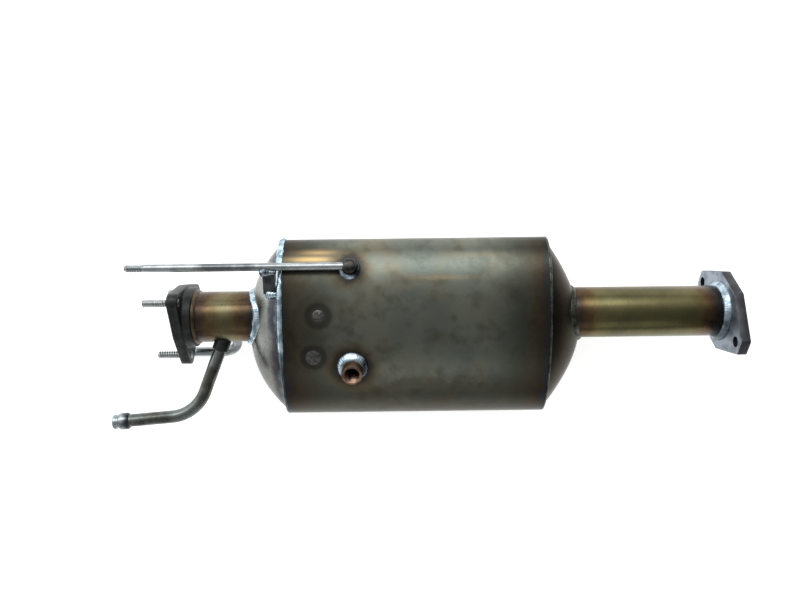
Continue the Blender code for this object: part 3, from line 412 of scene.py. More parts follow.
@dataclass(frozen=True)
class TintedSheet(Finish):
    """Rolled stainless sheet: a satin skin, smudged, with heat tint beside its welds, painted highlight
    lines, and painted shade toward its ends and on the side away from the rod.
    """

    seams: tuple[float, ...] = (-128.5, 128.5)
    # Place of each boss, and how far the tint's darkest ring lies from it
    spots: tuple[tuple[Corner, float], ...] = ((LAYOUT.sensor, 15.0), (LAYOUT.rod_boss, 10.0))
    nuggets: tuple[Corner, ...] = (LAYOUT.upper_plug, LAYOUT.lower_plug)
    # Place, length and strength of each painted highlight line, golden, where light glints along the shell
    painted_highlight_lines: tuple[tuple[float, float, float, float], ...] = (
        (-92.0, 80.0, 38.0, 0.9),
        (-98.0, 74.5, 44.0, 1.0),
        (30.0, 57.0, 70.0, 0.22),
        (60.0, 77.0, 60.0, 0.12),
    )

    def paint(self, brush: Brush) -> Socket:
        """Add smudges, tint and painted shade beside the seams, painted highlight lines, painted shade away
        from the rod, and halos round the bosses and nuggets.
        """
        brush.grain((0.25, 1.6, 1.6), 0.00004, self.roughness, 0.07)
        colour = brush.mottle(linear(self.colour), "5E6661", 55.0, (0.42, 0.62), 0.7)
        colour = brush.mottle(colour, "7C725C", 34.0, (0.50, 0.66), 0.45)
        colour = brush.mottle(colour, "3C3F39", 17.0, (0.50, 0.72), 0.5)
        # Painted shade on the side away from the rod
        colour = brush.painted_low_side_shade(30.0, colour)
        # Heat tint beside each seam, brown and blue close in; the dark grey band that reaches out to 70 mm is
        # painted shade toward the shell's ends
        bands = (
            (2.0, "26272C", 0.9),
            (7.0, "30251B", 0.85),
            (16.0, "3A3226", 0.8),
            (30.0, "3A3A32", 0.7),
            (70.0, "50514A", 0.0),
        )
        for seam in self.seams:
            colour = brush.halo(brush.beside(seam, 3.5), bands, colour)
        # Painted highlight lines along the shell, golden at their middles
        for x, y, length, strength in self.painted_highlight_lines:
            half_width = 5.0
            squeeze = half_width / length
            thin = brush.vector("MULTIPLY", brush.place, (squeeze, 1.0, 0.0))
            off = brush.vector("DISTANCE", thin, (x * squeeze, y, 0.0))
            bands = (
                (0.0, "C8A878", 0.9 * strength),
                (1.6, "AE9468", 0.7 * strength),
                (3.2, "7E7460", 0.35 * strength),
                (half_width, "5A564A", 0.0),
            )
            colour = brush.halo(off, bands, colour)
        for spot, radius in self.spots:
            bands = (
                (radius, "26282C", 0.9),
                (radius + 4.0, "3A3129", 0.8),
                (radius + 8.0, "544430", 0.5),
                (radius + 16.0, "6E6448", 0.0),
            )
            colour = brush.halo(brush.wander(self.away(brush, spot), 1.5), bands, colour)
        bands = (
            (6.0, "474641", 0.8),
            (9.0, "302E2B", 0.7),
            (12.0, "2E2C29", 0.6),
            (14.0, "46423C", 0.3),
            (17.0, "5C574C", 0.0),
        )
        for nugget in self.nuggets:
            colour = brush.halo(self.away(brush, nugget), bands, colour)
        return colour

    def away(self, brush: Brush, spot: Corner) -> Socket:
        """Give the distance from a place on the shell's outside."""
        return brush.vector("DISTANCE", brush.place, LAYOUT.surface(*spot)[0] / MM)


@dataclass(frozen=True)
class TintedTube(Finish):
    """Welded stainless tube: ring-polished, gold from heat, and brown beside its welds."""

    welds: tuple[float, ...] = ()

    def paint(self, brush: Brush) -> Socket:
        """Add rings of polish, mottling and the tint beside the welds."""
        brush.grain((2.2, 0.12, 0.12), 0.00003, self.roughness, 0.06)
        colour = brush.mottle(linear(self.colour), "4E4C38", 24.0, (0.45, 0.65), 0.6)
        colour = brush.mottle(colour, "80764F", 40.0, (0.50, 0.68), 0.4)
        bands = (
            (2.0, "2C2B30", 0.9),
            (7.0, "3A2A28", 0.85),
            (15.0, "543C2B", 0.75),
            (24.0, "6A5838", 0.4),
            (34.0, "7C7048", 0.0),
        )
        for weld in self.welds:
            colour = brush.halo(brush.beside(weld, 5.0), bands, colour)
        return colour


@dataclass(frozen=True)
class PressedCap(Finish):
    """Pressed stainless sheet: drawn smooth, with bands that follow the seam (heat tint, and on the inlet cap
    a painted highlight band) and painted shade on the side away from the rod.
    """

    seam: float = 128.5
    bands: tuple[Band, ...] = ()

    def paint(self, brush: Brush) -> Socket:
        """Add mottling, the bands beyond the seam, and painted shade on the side away from the rod."""
        brush.grain((0.6, 0.6, 0.6), 0.00001, self.roughness, 0.06)
        colour = brush.mottle(linear(self.colour), "4E4C52", 20.0, (0.47, 0.62), 0.5)
        # Painted shade on the side away from the rod, laid over the seam's bands
        return brush.painted_low_side_shade(6.0, brush.halo(brush.beside(self.seam, 2.5), self.bands, colour))


@dataclass(frozen=True)
class MottledMetal(Finish):
    """A surface with soft patches of a second colour over a fine grain."""

    patches: str = "808080"
    patch_size: float = 8.0
    share: float = 0.6
    grains: tuple[float, float, float] = (1.2, 1.2, 1.2)
    depth: float = 0.00005

    def paint(self, brush: Brush) -> Socket:
        """Add the grain and the patches."""
        brush.grain(self.grains, self.depth, self.roughness, 0.06)
        return brush.mottle(linear(self.colour), self.patches, self.patch_size, (0.42, 0.62), self.share)


@dataclass(frozen=True)
class OneSideDarkWeld(MottledMetal):
    """A bead or a fitting that is bright on one side and dark on the other: soot on most, painted shade on
    the sensor's bead.
    """

    # The way along which the dark side clears, and where it is clear and full
    way: tuple[float, float] = (0.0, 1.0)
    clear: float = 0.0
    dark_at: float = -10.0
    dark_colour: str = "2E3034"

    def paint(self, brush: Brush) -> Socket:
        """Add the patches, and the dark side by the place along its way."""
        bright = super().paint(brush)
        along = brush.wander(brush.vector("DOT_PRODUCT", brush.place, (*self.way, 0.0)), 3.0)
        return brush.mix(brush.remap(along, self.dark_at, self.clear, 0.9, 0.0), bright, linear(self.dark_colour))


@dataclass(frozen=True)
class FacedPlate(MottledMetal):
    """A plate whose flat faces are cleaner than its burnt rim."""

    rim: str = "2A2422"

    def paint(self, brush: Brush) -> Socket:
        """Add the patches, and the rim's colour where the plate faces sideways."""
        flat = super().paint(brush)
        return brush.mix(brush.remap(brush.end_facing(), 0.5, 0.95, 0.85, 0.0), flat, linear(self.rim))


@dataclass(frozen=True)
class ChannelledCeramic(Finish):
    """Extruded ceramic: square channels, plugged at alternate ends like a chessboard."""

    pitch: float = 1.8

    def paint(self, brush: Brush) -> Socket:
        """Draw the channels on the two end faces."""
        inputs = {
            "Vector": brush.vector("MULTIPLY", brush.place, (0.0, 1.0, 1.0)),
            "Color1": linear(self.colour),
            "Color2": linear("2E2A24"),
            "Scale": 1.0 / self.pitch,
        }
        check = brush.add("TexChecker", inputs).outputs["Color"]
        on_end = brush.math("GREATER_THAN", brush.end_facing(), 0.9)
        return brush.mix(on_end, linear(self.colour), check)


class Skin(Enum):
    """Every finish in use. Each is named for what the real surface is and how it was made."""

    # Stainless sheet, rolled: satin along the roll, grey-green, with brown and blue beside the welds
    SHELL = TintedSheet("heat_tinted_stainless_sheet", "73766B", 0.34)
    # Stainless sheet, pressed: smoother and more mirror-like, with blue and purple heat bands by the seam,
    # then a grey and white painted highlight band where the dome bulges
    INLET_CAP = PressedCap(
        "pressed_stainless_inlet", "9CA09E", 0.26, seam=-128.5, bands=(
            (3.5, "8098A8", 0.8),
            (6.5, "4E4C58", 0.85),
            (10.5, "605E68", 0.8),
            # Painted highlight band, grey and white, where the dome's bulge catches the light
            (15.0, "B2B8B4", 0.75),
            (20.0, "9CA09A", 0.6),
            (26.0, "74726A", 0.6),
            (32.0, "8A8C8A", 0.5),
            (40.0, "4A4240", 0.8),
            (42.0, "4A4240", 0.8),
        ),
    )
    # The same sheet where the heat was greater: dark olive and brown nearly all over
    OUTLET_CAP = PressedCap(
        "pressed_stainless_outlet", "3E3B32", 0.32, seam=128.5, bands=(
            (3.0, "1F2020", 0.9),
            (9.0, "2E2920", 0.9),
            (17.0, "3C3228", 0.85),
            (26.0, "2C3026", 0.8),
            (40.0, "25241C", 0.85),
            (42.0, "25241C", 0.85),
        ),
    )
    # Weld metal, frozen under gas: bluish white ripples, with patches drawn wide enough to show
    WELD = MottledMetal(
        "bright_weld_bead", "CCE0EA", 0.20, patches="5E7484", patch_size=9.0, share=0.85, depth=0.00001
    )
    SEAM_WELD = OneSideDarkWeld(
        "half_sooted_seam_bead", "CCE0EA", 0.20, patches="66808F", patch_size=9.0, share=0.8,
        depth=0.00001, clear=-12.0, dark_at=-26.0,
    )
    # Weld metal beside a boss or a flange: the same, a little duller, and dark on one side; on the sensor's
    # bead the dark side, toward the outlet and away from the rod, is painted shade
    SENSOR_WELD = OneSideDarkWeld(
        "half_shaded_boss_bead", "BCCDD6", 0.24, patches="5A6C78", patch_size=6.0, share=0.85,
        depth=0.00002, way=(-0.7, 0.7), clear=27.0, dark_at=17.0,
    )
    ROD_WELD = OneSideDarkWeld(
        "half_sooted_rod_bead", "BCCDD6", 0.24, patches="5A6C78", patch_size=6.0, share=0.85,
        depth=0.00002, way=(-0.7, -0.7), clear=3.0, dark_at=-4.0, dark_colour="1E1F21",
    )
    FLANGE_WELD = OneSideDarkWeld(
        "half_sooted_flange_bead", "B6C8D2", 0.24, patches="567080", patch_size=6.0, share=0.8,
        depth=0.00002, clear=22.0, dark_at=2.0, dark_colour="3A3E42",
    )
    # Weld metal that has oxidised: nearly black between glints, grey-green, or brown
    DARK_WELD = MottledMetal("dark_weld_bead", "9AA8B2", 0.2, patches="33383D", patch_size=5.0, share=0.9)
    DULL_WELD = MottledMetal(
        "sooted_weld_bead", "55594F", 0.34, 0.9, patches="2C2A25", patch_size=7.0, share=0.9
    )
    BROWN_WELD = MottledMetal(
        "browned_weld_bead", "5E5140", 0.36, 0.9, patches="3A342C", patch_size=6.0, share=0.8
    )
    # A plug of weld metal: rough, grey and matt
    NUGGET = MottledMetal("plug_weld_nugget", "626360", 0.42, patches="3C3B39", patch_size=3.0, share=0.7)
    # Welded stainless tube, polished round: rings across the light, gold, and brown beside the welds
    INLET_DUCT = TintedTube("heat_tinted_tube_inlet", "6C6852", 0.28, welds=(-157.0, -219.0))
    OUTLET_DUCT = TintedTube("heat_tinted_tube_outlet", "625E41", 0.28, welds=(155.0, 301.0))
    # Steel plate, hot-rolled: dark mill scale with a soft sheen
    INLET_FLANGE = MottledMetal(
        "scaled_steel_plate", "393B3A", 0.40, 0.85, patches="232424", patch_size=9.0, share=0.7, depth=0.0001
    )
    # Steel plate, ground on its faces: pale blue-grey there, and burnt dark on the rim
    OUTLET_FLANGE = FacedPlate(
        "oiled_steel_plate", "949EAA", 0.40, 0.9, patches="5C646E", patch_size=12.0, share=0.7, depth=0.0001
    )
    # Steel, turned and zinc-plated: pale and clean, and sooted where it meets the pipe
    HOSE_END = OneSideDarkWeld(
        "plated_hose_end", "AEB6BA", 0.26, patches="6C7478", patch_size=5.0,
        way=(-1.0, 0.0), clear=294.0, dark_at=289.0, dark_colour="26282A",
    )
    # Steel studs, rolled and zinc-plated: bright silver with grey flecks
    ZINC = MottledMetal("bright_zinc_plate", "B9BDBD", 0.30, patches="8C8F8E", patch_size=4.0)
    # Steel bar, drawn: fine lines along it, bright with long dark stains
    ROD = MottledMetal(
        "drawn_steel_rod", "AEB4B6", 0.28, patches="4E5254", patch_size=26.0, share=0.8,
        grains=(0.3, 2.0, 2.0),
    )
    # Steel, turned and heat-blackened: dark with a clear highlight
    BOSS = MottledMetal("turned_steel_boss", "444443", 0.26, patches="2A2927", patch_size=5.0, share=0.8)
    # Steel strap, cut from plate: matt dark grey
    STRAP = MottledMetal("cut_steel_strap", "5A5C5C", 0.45, patches="34343A", patch_size=7.0, share=0.8)
    # Steel, turned and coppered: brownish pink with darker stains
    SENSOR = MottledMetal("coppered_steel_boss", "8E7464", 0.34, patches="5A453A", patch_size=6.0, share=0.7)
    # Steel tube, drawn: dark grey with olive stains and a long highlight
    TAP = MottledMetal(
        "dark_steel_tube", "6E7472", 0.27, 0.95, patches="3E3C34", patch_size=18.0, share=0.75,
        grains=(1.5, 1.5, 1.5),
    )
    # The inside, which doesn't show in the photograph: buff ceramic, white fibre, wire and stained sheet
    MONOLITH = ChannelledCeramic("extruded_cordierite", "B9A98C", 0.90, 0.0)
    MAT = MottledMetal(
        "expanding_fibre_mat", "CFC9B8", 0.95, 0.0, patches="B8B09A", patch_size=3.0, depth=0.0003
    )
    KNIT = MottledMetal("knitted_wire_ring", "8C8C88", 0.55, patches="5C5C5A", patch_size=1.2, depth=0.0003)
    BAFFLE = MottledMetal("pierced_stainless_dish", "8A8880", 0.36, patches="6A5A44", patch_size=20.0)


def deselect() -> None:
    """Clear the selection, because an operator acts on all that is selected."""
    bpy.ops.object.select_all(action="DESELECT")


def only(piece: bpy.types.Object) -> None:
    """Make a piece the only selected and the active one."""
    deselect()
    piece.select_set(True)
    bpy.context.view_layer.objects.active = piece


def edit(piece: bpy.types.Object, *steps: Callable[[], object]) -> None:
    """Run operators on all of a piece in edit mode.

    Args:
        piece: The piece.
        steps: The operators, in order.
    """
    only(piece)
    bpy.ops.object.mode_set(mode="EDIT")
    bpy.ops.mesh.select_all(action="SELECT")
    for step in steps:
        step()
    bpy.ops.object.mode_set(mode="OBJECT")


def edit_edges(
    piece: bpy.types.Object, chosen: Callable[[Vector, Vector], bool], step: Callable[[], object]
) -> None:
    """Run an operator on some edges of a piece in edit mode.

    Args:
        piece: The piece.
        chosen: Tells by an edge's two ends whether the operator works on it.
        step: The operator.
    """
    only(piece)
    bpy.ops.object.mode_set(mode="EDIT")
    bpy.ops.mesh.select_mode(type="EDGE")
    bpy.ops.mesh.select_all(action="DESELECT")
    bpy.ops.object.mode_set(mode="OBJECT")
    for edge in piece.data.edges:
        edge.select = chosen(*(piece.data.vertices[index].co for index in edge.vertices))
    bpy.ops.object.mode_set(mode="EDIT")
    step()
    bpy.ops.object.mode_set(mode="OBJECT")


def close_up(piece: bpy.types.Object) -> None:
    """Merge a piece's doubles, drop what is loose and turn its faces outwards."""
    edit(
        piece,
        lambda: bpy.ops.mesh.remove_doubles(threshold=0.00001),
        lambda: bpy.ops.mesh.delete_loose(),
        lambda: bpy.ops.mesh.select_all(action="SELECT"),
        lambda: bpy.ops.mesh.normals_make_consistent(inside=False),
    )


def modify(piece: bpy.types.Object, kind: str, **settings) -> None:
    """Add a modifier and apply it.

    Args:
        piece: The piece.
        kind: The modifier's type.
        settings: Its settings.
    """
    only(piece)
    modifier = piece.modifiers.new(kind.lower(), kind)
    for name, value in settings.items():
        setattr(modifier, name, value)
    bpy.ops.object.modifier_apply(modifier=modifier.name)


def combine(piece: bpy.types.Object, other: bpy.types.Object, operation: str = "DIFFERENCE") -> None:
    """Cut a piece with another, or add the other to it, and remove the other."""
    modify(piece, "BOOLEAN", operation=operation, object=other, solver="EXACT")
    bpy.data.objects.remove(other, do_unlink=True)


def aim(piece: bpy.types.Object, base: Vector, axis: Vector) -> bpy.types.Object:
    """Stand a piece that was made along Z on a base point, along an axis.

    Args:
        piece: The piece.
        base: Where its origin goes.
        axis: Where its Z points.

    Returns:
        The piece.
    """
    turn = axis.normalized().to_track_quat("Z", "Y").to_matrix().to_4x4()
    piece.data.transform(Matrix.Translation(base) @ turn)
    return piece


def cylinder(start: Vector, end: Vector, radius: float, sides: int, fill: str = "NGON") -> bpy.types.Object:
    """Add a round bar between two points.

    Args:
        start: One end.
        end: The other end.
        radius: Its radius.
        sides: Sides round it.
        fill: How its ends are closed.

    Returns:
        The bar.
    """
    deselect()
    depth = (end - start).length
    bpy.ops.mesh.primitive_cylinder_add(vertices=sides, radius=radius, depth=depth, end_fill_type=fill)
    return aim(bpy.context.object, (start + end) / 2, end - start)


def drill(piece: bpy.types.Object, start: Vector, end: Vector, radius: float, sides: int) -> None:
    """Cut a round hole in a piece from one point to another."""
    combine(piece, cylinder(start, end, radius, sides))


def turned(profile: Sequence[Corner], steps: int = 64) -> bpy.types.Object:
    """Turn a closed profile round Z, as on a lathe.

    Args:
        profile: Radius and height of each corner, in order.
        steps: Steps round the axis.

    Returns:
        The turned body.
    """
    deselect()
    bpy.ops.mesh.primitive_circle_add(vertices=len(profile), radius=MM)
    piece = bpy.context.object
    for vertex, (radius, height) in zip(piece.data.vertices, profile):
        vertex.co = (radius, 0.0, height)
    edit(
        piece,
        lambda: bpy.ops.mesh.spin(steps=steps, angle=math.tau, center=(0, 0, 0), axis=(0, 0, 1)),
    )
    close_up(piece)
    return piece


def millimetres(*profile: Corner) -> list[Corner]:
    """Turn a profile in millimetres into metres."""
    return [(radius * MM, height * MM) for radius, height in profile]


def rings(radius: float, start: float, end: float, step: float) -> list[Corner]:
    """Give a profile's corners up or down a thread, several to each turn of it."""
    corners = []
    height = start
    while (end - height) * step > 0:
        corners.append((radius, height))
        height += step
    return corners


def looped(segments: int, place: Trace, sides: int = 14) -> bpy.types.Object:
    """Make a closed bead from a spun ring.

    Args:
        segments: Segments along the bead.
        place: Gives the bead's points.
        sides: Sides round its section.

    Returns:
        The bead.
    """
    # The ring that is reshaped has a radius of 1 and a section of this radius
    section = 0.25
    turns = [math.tau * step / sides for step in range(sides)]
    piece = turned([(1.0 + section * math.cos(turn), section * math.sin(turn)) for turn in turns], segments)
    for vertex in piece.data.vertices:
        out = math.hypot(vertex.co.x, vertex.co.y) - 1.0
        angle = math.tau * (math.atan2(vertex.co.y, vertex.co.x) / math.tau % 1.0)
        turn = math.tau * (math.atan2(vertex.co.z, out) / math.tau % 1.0)
        vertex.co = place(angle, math.cos(turn), math.sin(turn))
    close_up(piece)
    return piece


def ripple(along: float, lateral: float, seed: float) -> float:
    """Tell how far a weld's skin stands up from its mean at a point.

    Args:
        along: Metres along the bead.
        lateral: Place across the bead, from -1 to 1.
        seed: Number that makes each bead its own.

    Returns:
        A share of the bead's height.
    """
    # The frozen pools are drawn wider apart than real ones, which vanish at the photograph's size
    pool, curve, mean_crest = 2.3 * MM, 0.9 * MM, 0.64
    crest = abs(math.sin(math.pi * (along - curve * (1 - lateral**2)) / pool))
    slow = noise.noise(Vector((along / (9 * MM), seed, 0.0)))
    rough = noise.noise(Vector((along / (2.2 * MM), lateral * 2, seed)))
    return 0.12 * (crest - mean_crest) + 0.32 * slow + 0.06 * rough


def sway(along: float, seed: float, length: float = 9 * MM) -> float:
    """Tell how a bead's width sways at a place along it, from -1 to 1."""
    return noise.noise(Vector((along / length, seed, 0.0)))


def leant(run: float, rise: float, lean: float) -> Corner:
    """Turn a bead's run and rise from its leaning face to the surface it lies on."""
    return run * math.cos(lean) + rise * math.sin(lean), rise * math.cos(lean) - run * math.sin(lean)


def shell_depth(point: Vector, normal: Vector) -> float:
    """Find how far a point stands off the shell along a direction.

    Args:
        point: The point.
        normal: The direction away from the shell.

    Returns:
        The distance, negative inside the shell.
    """
    low, high = -20.0 * MM, 30.0 * MM
    for _ in range(24):
        middle = (low + high) / 2
        foot = point - normal * middle
        if math.hypot(foot.y / (LAYOUT.shell_width / 2), foot.z / (LAYOUT.shell_height / 2)) < 1.0:
            high = middle
        else:
            low = middle
    return high


def thread(
    piece: bpy.types.Object, start: float, end: float, pitch: float, depth: float, bore: float = 0.0
) -> None:
    """Cut a thread into a body that was turned round Z.

    Args:
        piece: The body, with several rings to each turn of the thread.
        start: Height at which the thread begins.
        end: Height at which it ends.
        pitch: Its pitch.
        depth: Its depth.
        bore: Cut it into what lies within this radius, and not into the outside.
    """
    for vertex in piece.data.vertices:
        reach = math.hypot(vertex.co.x, vertex.co.y)
        if reach < MM or not start < vertex.co.z < end or (bore and reach >= bore):
            continue
        turn = math.atan2(vertex.co.y, vertex.co.x) / math.tau
        phase = (vertex.co.z / pitch - turn) % 1.0
        fade = min(1.0, (vertex.co.z - start) / pitch, (end - vertex.co.z) / pitch)
        groove = depth * (1.0 - abs(2.0 * phase - 1.0)) * fade
        change = 1.0 + (groove if bore else -groove) / reach
        vertex.co.x *= change
        vertex.co.y *= change


def bend(corners: Sequence[Vector], radius: float, steps: int = 20) -> list[Vector]:
    """Round the corners of a route.

    Args:
        corners: The route's corners.
        radius: Radius of every bend.
        steps: Steps in a bend.

    Returns:
        Points along the rounded route.
    """
    route = [corners[0]]
    for before, corner, after in zip(corners, corners[1:], corners[2:]):
        into, away = (corner - before).normalized(), (after - corner).normalized()
        turn = into.angle(away)
        start = corner - into * radius * math.tan(turn / 2)
        axis = into.cross(away).normalized()
        centre = start + axis.cross(into) * radius
        for step in range(steps + 1):
            route.append(centre + Matrix.Rotation(turn * step / steps, 3, axis) @ (start - centre))
    route.append(corners[-1])
    return route


def tube(route: Sequence[Vector], radius: float, wall: float) -> bpy.types.Object:
    """Draw a tube along a route and give it its wall.

    Args:
        route: Points along its middle.
        radius: Its outer radius.
        wall: Its wall's thickness.

    Returns:
        The tube.
    """
    curve = bpy.data.curves.new("tube", "CURVE")
    curve.dimensions = "3D"
    curve.bevel_depth = radius
    curve.bevel_resolution = 8
    spline = curve.splines.new("POLY")
    spline.points.add(len(route) - 1)
    for point, place in zip(spline.points, route):
        point.co = (*place, 1.0)
    piece = bpy.data.objects.new("tube", curve)
    bpy.context.collection.objects.link(piece)
    only(piece)
    bpy.ops.object.convert(target="MESH")
    piece = bpy.context.object
    close_up(piece)
    modify(piece, "SOLIDIFY", thickness=wall, offset=-1.0)
    close_up(piece)
    return piece


def plate(
    outline: Sequence[Corner], start: float, thickness: float, rim: float = 0.9 * MM
) -> bpy.types.Object:
    """Cut a plate to an outline across the part and ease its edges.

    Args:
        outline: Its corners, across and in height, from the pipes' axis.
        start: Where its first face lies along the part.
        thickness: Its thickness toward the outlet.
        rim: Width of the eased edges.

    Returns:
        The plate.
    """
    deselect()
    bpy.ops.mesh.primitive_circle_add(vertices=len(outline), radius=MM, fill_type="NGON")
    piece = bpy.context.object
    for vertex, (across, up) in zip(piece.data.vertices, outline):
        vertex.co = LAYOUT.pipe_point(start, across, up)
    move = {"value": (thickness, 0.0, 0.0)}
    edit(piece, lambda: bpy.ops.mesh.extrude_region_move(TRANSFORM_OT_translate=move))
    close_up(piece)
    modify(piece, "BEVEL", width=rim, segments=2, limit_method="ANGLE", angle_limit=math.radians(60.0))
    return piece


def boss_bead(
    foot: Vector, normal: Vector, radius: float, width: float, height: float, fat: Vector, seed: float
) -> bpy.types.Object:
    """Lay a fillet round a boss on the shell.

    Args:
        foot: The boss's foot.
        normal: The direction of the boss.
        radius: The boss's radius.
        width: How far the fillet reaches over the shell.
        height: How far it climbs the boss.
        fat: The side on which the fillet is fattest; its length is how much fatter.
        seed: Number that makes it its own.

    Returns:
        The bead.
    """
    turn_to = normal.to_track_quat("Z", "Y")
    lean = math.atan2(height, width)
    half = 0.56 * math.hypot(width, height)

    def place(angle: float, lateral: float, lift: float) -> Vector:
        """Give the bead's point."""
        round_it = Vector((math.cos(angle), math.sin(angle), 0.0))
        out = turn_to @ round_it
        swell = ripple(angle * (radius + width / 2), lateral, seed)
        spread = 1.0 + 0.2 * noise.noise(Vector((*round_it.xy, seed)) * 2.2) + fat.dot(out)
        rise = 0.30 * half * lift * (1.0 + 1.4 * swell) if lift > 0 else 0.5 * half * lift
        along, up = leant(half * lateral * spread, rise, lean)
        ground = foot + out * (radius + 0.46 * width + along)
        return ground + normal * (0.44 * height + up - shell_depth(ground, normal))

    return looped(150, place)


@dataclass
class Assembly:
    """Shared work on the pieces of a sub-assembly."""

    placing: Matrix
    materials: dict[Skin, bpy.types.Material]

    def done(
        self, piece: bpy.types.Object, name: str, skin: Skin, slot: str, *nodes: str, sharp: float = SHARP
    ) -> None:
        """Put a finished piece in its place, dress it and let it stand for its nodes.

        Args:
            piece: The piece, in the part's own frame.
            name: Its name.
            skin: Its finish.
            slot: The record's material slot; not used.
            nodes: The CAD nodes that it replaces.
            sharp: Angle in degrees above which an edge stays sharp.
        """
        piece.name = piece.data.name = name
        piece.data.transform(self.placing)
        only(piece)
        bpy.ops.object.shade_smooth_by_angle(angle=math.radians(sharp))
        piece.data.materials.clear()
        piece.data.materials.append(self.materials[skin])
        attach(piece, "root")
        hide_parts(*nodes)
        log.info("%s: %d faces", name, len(piece.data.polygons))

    def welded(self, piece: bpy.types.Object, name: str, skin: Skin, node: str) -> None:
        """Finish a weld bead."""
        self.done(piece, name, skin, "weld_metal", node, sharp=SHARP_WELD)


@dataclass
class Canister(Assembly):
    """The rolled shell, its two caps, their welds and the nuggets that hold the baffle."""

    sides: int = 192
    dome_cuts: int = 14
    skirt: float = 12.0 * MM
    # How far the shell's skin lies inside the CAD source's
    inset: float = 0.05 * MM
    sensor_hole: float = 10.3 * MM
    plug_hole: float = 3.8 * MM
    # Half of the seam beads' widths in millimetres, at places across the part
    inlet_widths: tuple[Corner, ...] = (
        (-88.0, 1.5), (-25.0, 1.7), (-16.0, 3.0), (30.0, 3.5), (58.0, 3.0), (72.0, 4.0), (88.0, 3.6)
    )
    outlet_widths: tuple[Corner, ...] = ((-88.0, 1.1), (0.0, 1.2), (70.0, 1.7), (88.0, 1.5))
    long_seam_half: float = 123.5 * MM
    long_seam_radius: float = 2.3 * MM

    def shell(self) -> None:
        """Roll the shell and pierce it."""
        half = ALONG * LAYOUT.shell_half
        piece = cylinder(-half, half, 1.0, self.sides, "NOTHING")
        for vertex in piece.data.vertices:
            point, normal = LAYOUT.oval(0.0, math.atan2(vertex.co.z, vertex.co.y))
            vertex.co.yz = (point - normal * self.inset).yz
        modify(piece, "SOLIDIFY", thickness=LAYOUT.wall, offset=-1.0)
        close_up(piece)
        holes = ((LAYOUT.sensor, 6, self.sensor_hole, 64), (LAYOUT.upper_plug, 4, self.plug_hole, 32))
        for spot, reach, radius, sides in (*holes, (LAYOUT.lower_plug, *holes[1][1:])):
            foot, normal = LAYOUT.surface(*spot)
            drill(piece, foot - normal * reach * MM, foot + normal * reach * MM, radius, sides)
        self.done(piece, "rolled_shell", Skin.SHELL, "shell_steel", "canister_shell")

    def cap(self, end: End, skin: Skin) -> None:
        """Press a cap: bridge its rim to its neck, dome it, and draw its skirt."""
        deselect()
        bpy.ops.mesh.primitive_circle_add(vertices=self.sides, radius=1.0)
        piece = bpy.context.object
        for vertex in piece.data.vertices:
            vertex.co = LAYOUT.oval(LAYOUT.cap_gap, math.atan2(vertex.co.y, vertex.co.x))[0]
        deselect()
        bpy.ops.mesh.primitive_circle_add(vertices=self.sides, radius=LAYOUT.pipe_radius + PIPE_ROOM)
        neck = bpy.context.object
        for vertex in neck.data.vertices:
            vertex.co = LAYOUT.pipe_point(0.0, vertex.co.x, vertex.co.y)
        only(piece)
        neck.select_set(True)
        bpy.ops.object.join()
        cuts = self.dome_cuts
        edit(piece, lambda: bpy.ops.mesh.bridge_edge_loops(number_cuts=cuts, interpolation="LINEAR"))
        for vertex in piece.data.vertices:
            rise = LAYOUT.dome_rise(end, vertex.co.y, vertex.co.z)
            vertex.co.x = end.value * (LAYOUT.shell_half + rise)
        move = {"value": (-end.value * self.skirt, 0.0, 0.0)}
        edit_edges(
            piece,
            lambda a, b: min(LAYOUT.outness(a.y, a.z), LAYOUT.outness(b.y, b.z)) > 0.9999,
            lambda: bpy.ops.mesh.extrude_edges_move(TRANSFORM_OT_translate=move),
        )
        close_up(piece)
        face = piece.data.polygons[0]
        outward = Vector((end.value, face.center.y * 5, face.center.z * 5))
        inside_out = face.normal.dot(outward) < 0
        modify(piece, "SOLIDIFY", thickness=LAYOUT.wall, offset=1.0 if inside_out else -1.0)
        close_up(piece)
        self.done(piece, end.label + "_dome", skin, "cap_steel", end.label + "_cap")

    def seam_bead(self, end: End, widths: Sequence[Corner], skin: Skin, seed: float) -> None:
        """Lay the bead round one end of the shell, down onto the cap.

        Args:
            end: The end.
            widths: Half of the bead's width in millimetres at places across the part, in order.
            skin: Its finish.
            seed: Number that makes the bead its own.
        """
        lean, sink = math.radians(35.0), 1.2 * MM
        places, halves = zip(*widths)

        def place(angle: float, lateral: float, lift: float) -> Vector:
            """Give the bead's point."""
            point, normal = LAYOUT.oval(0.0, angle)
            round_it = angle * LAYOUT.shell_width / 2
            half = MM * float(np.interp(point.y / MM, places, halves))
            run = half * lateral * (1.0 + 0.30 * sway(round_it, seed + 4))
            swell = 1.0 + ripple(round_it, lateral, seed) if lift > 0 else 1.0
            along, up = leant(run, (0.6 * MM + 0.42 * half) * lift * swell, lean)
            return point + normal * (up - sink) + ALONG * end.value * (LAYOUT.shell_half + sink + along)

        self.welded(looped(720, place), end.label + "_seam_bead", skin, end.label + "_seam_weld")

    def neck_bead(self, end: End, half: float, skin: Skin, seed: float) -> None:
        """Lay the fillet where the pipe enters the cap.

        Args:
            end: The end.
            half: Half of the bead's width.
            skin: Its finish.
            seed: Number that makes the bead its own.
        """
        lean = math.radians(48.0)

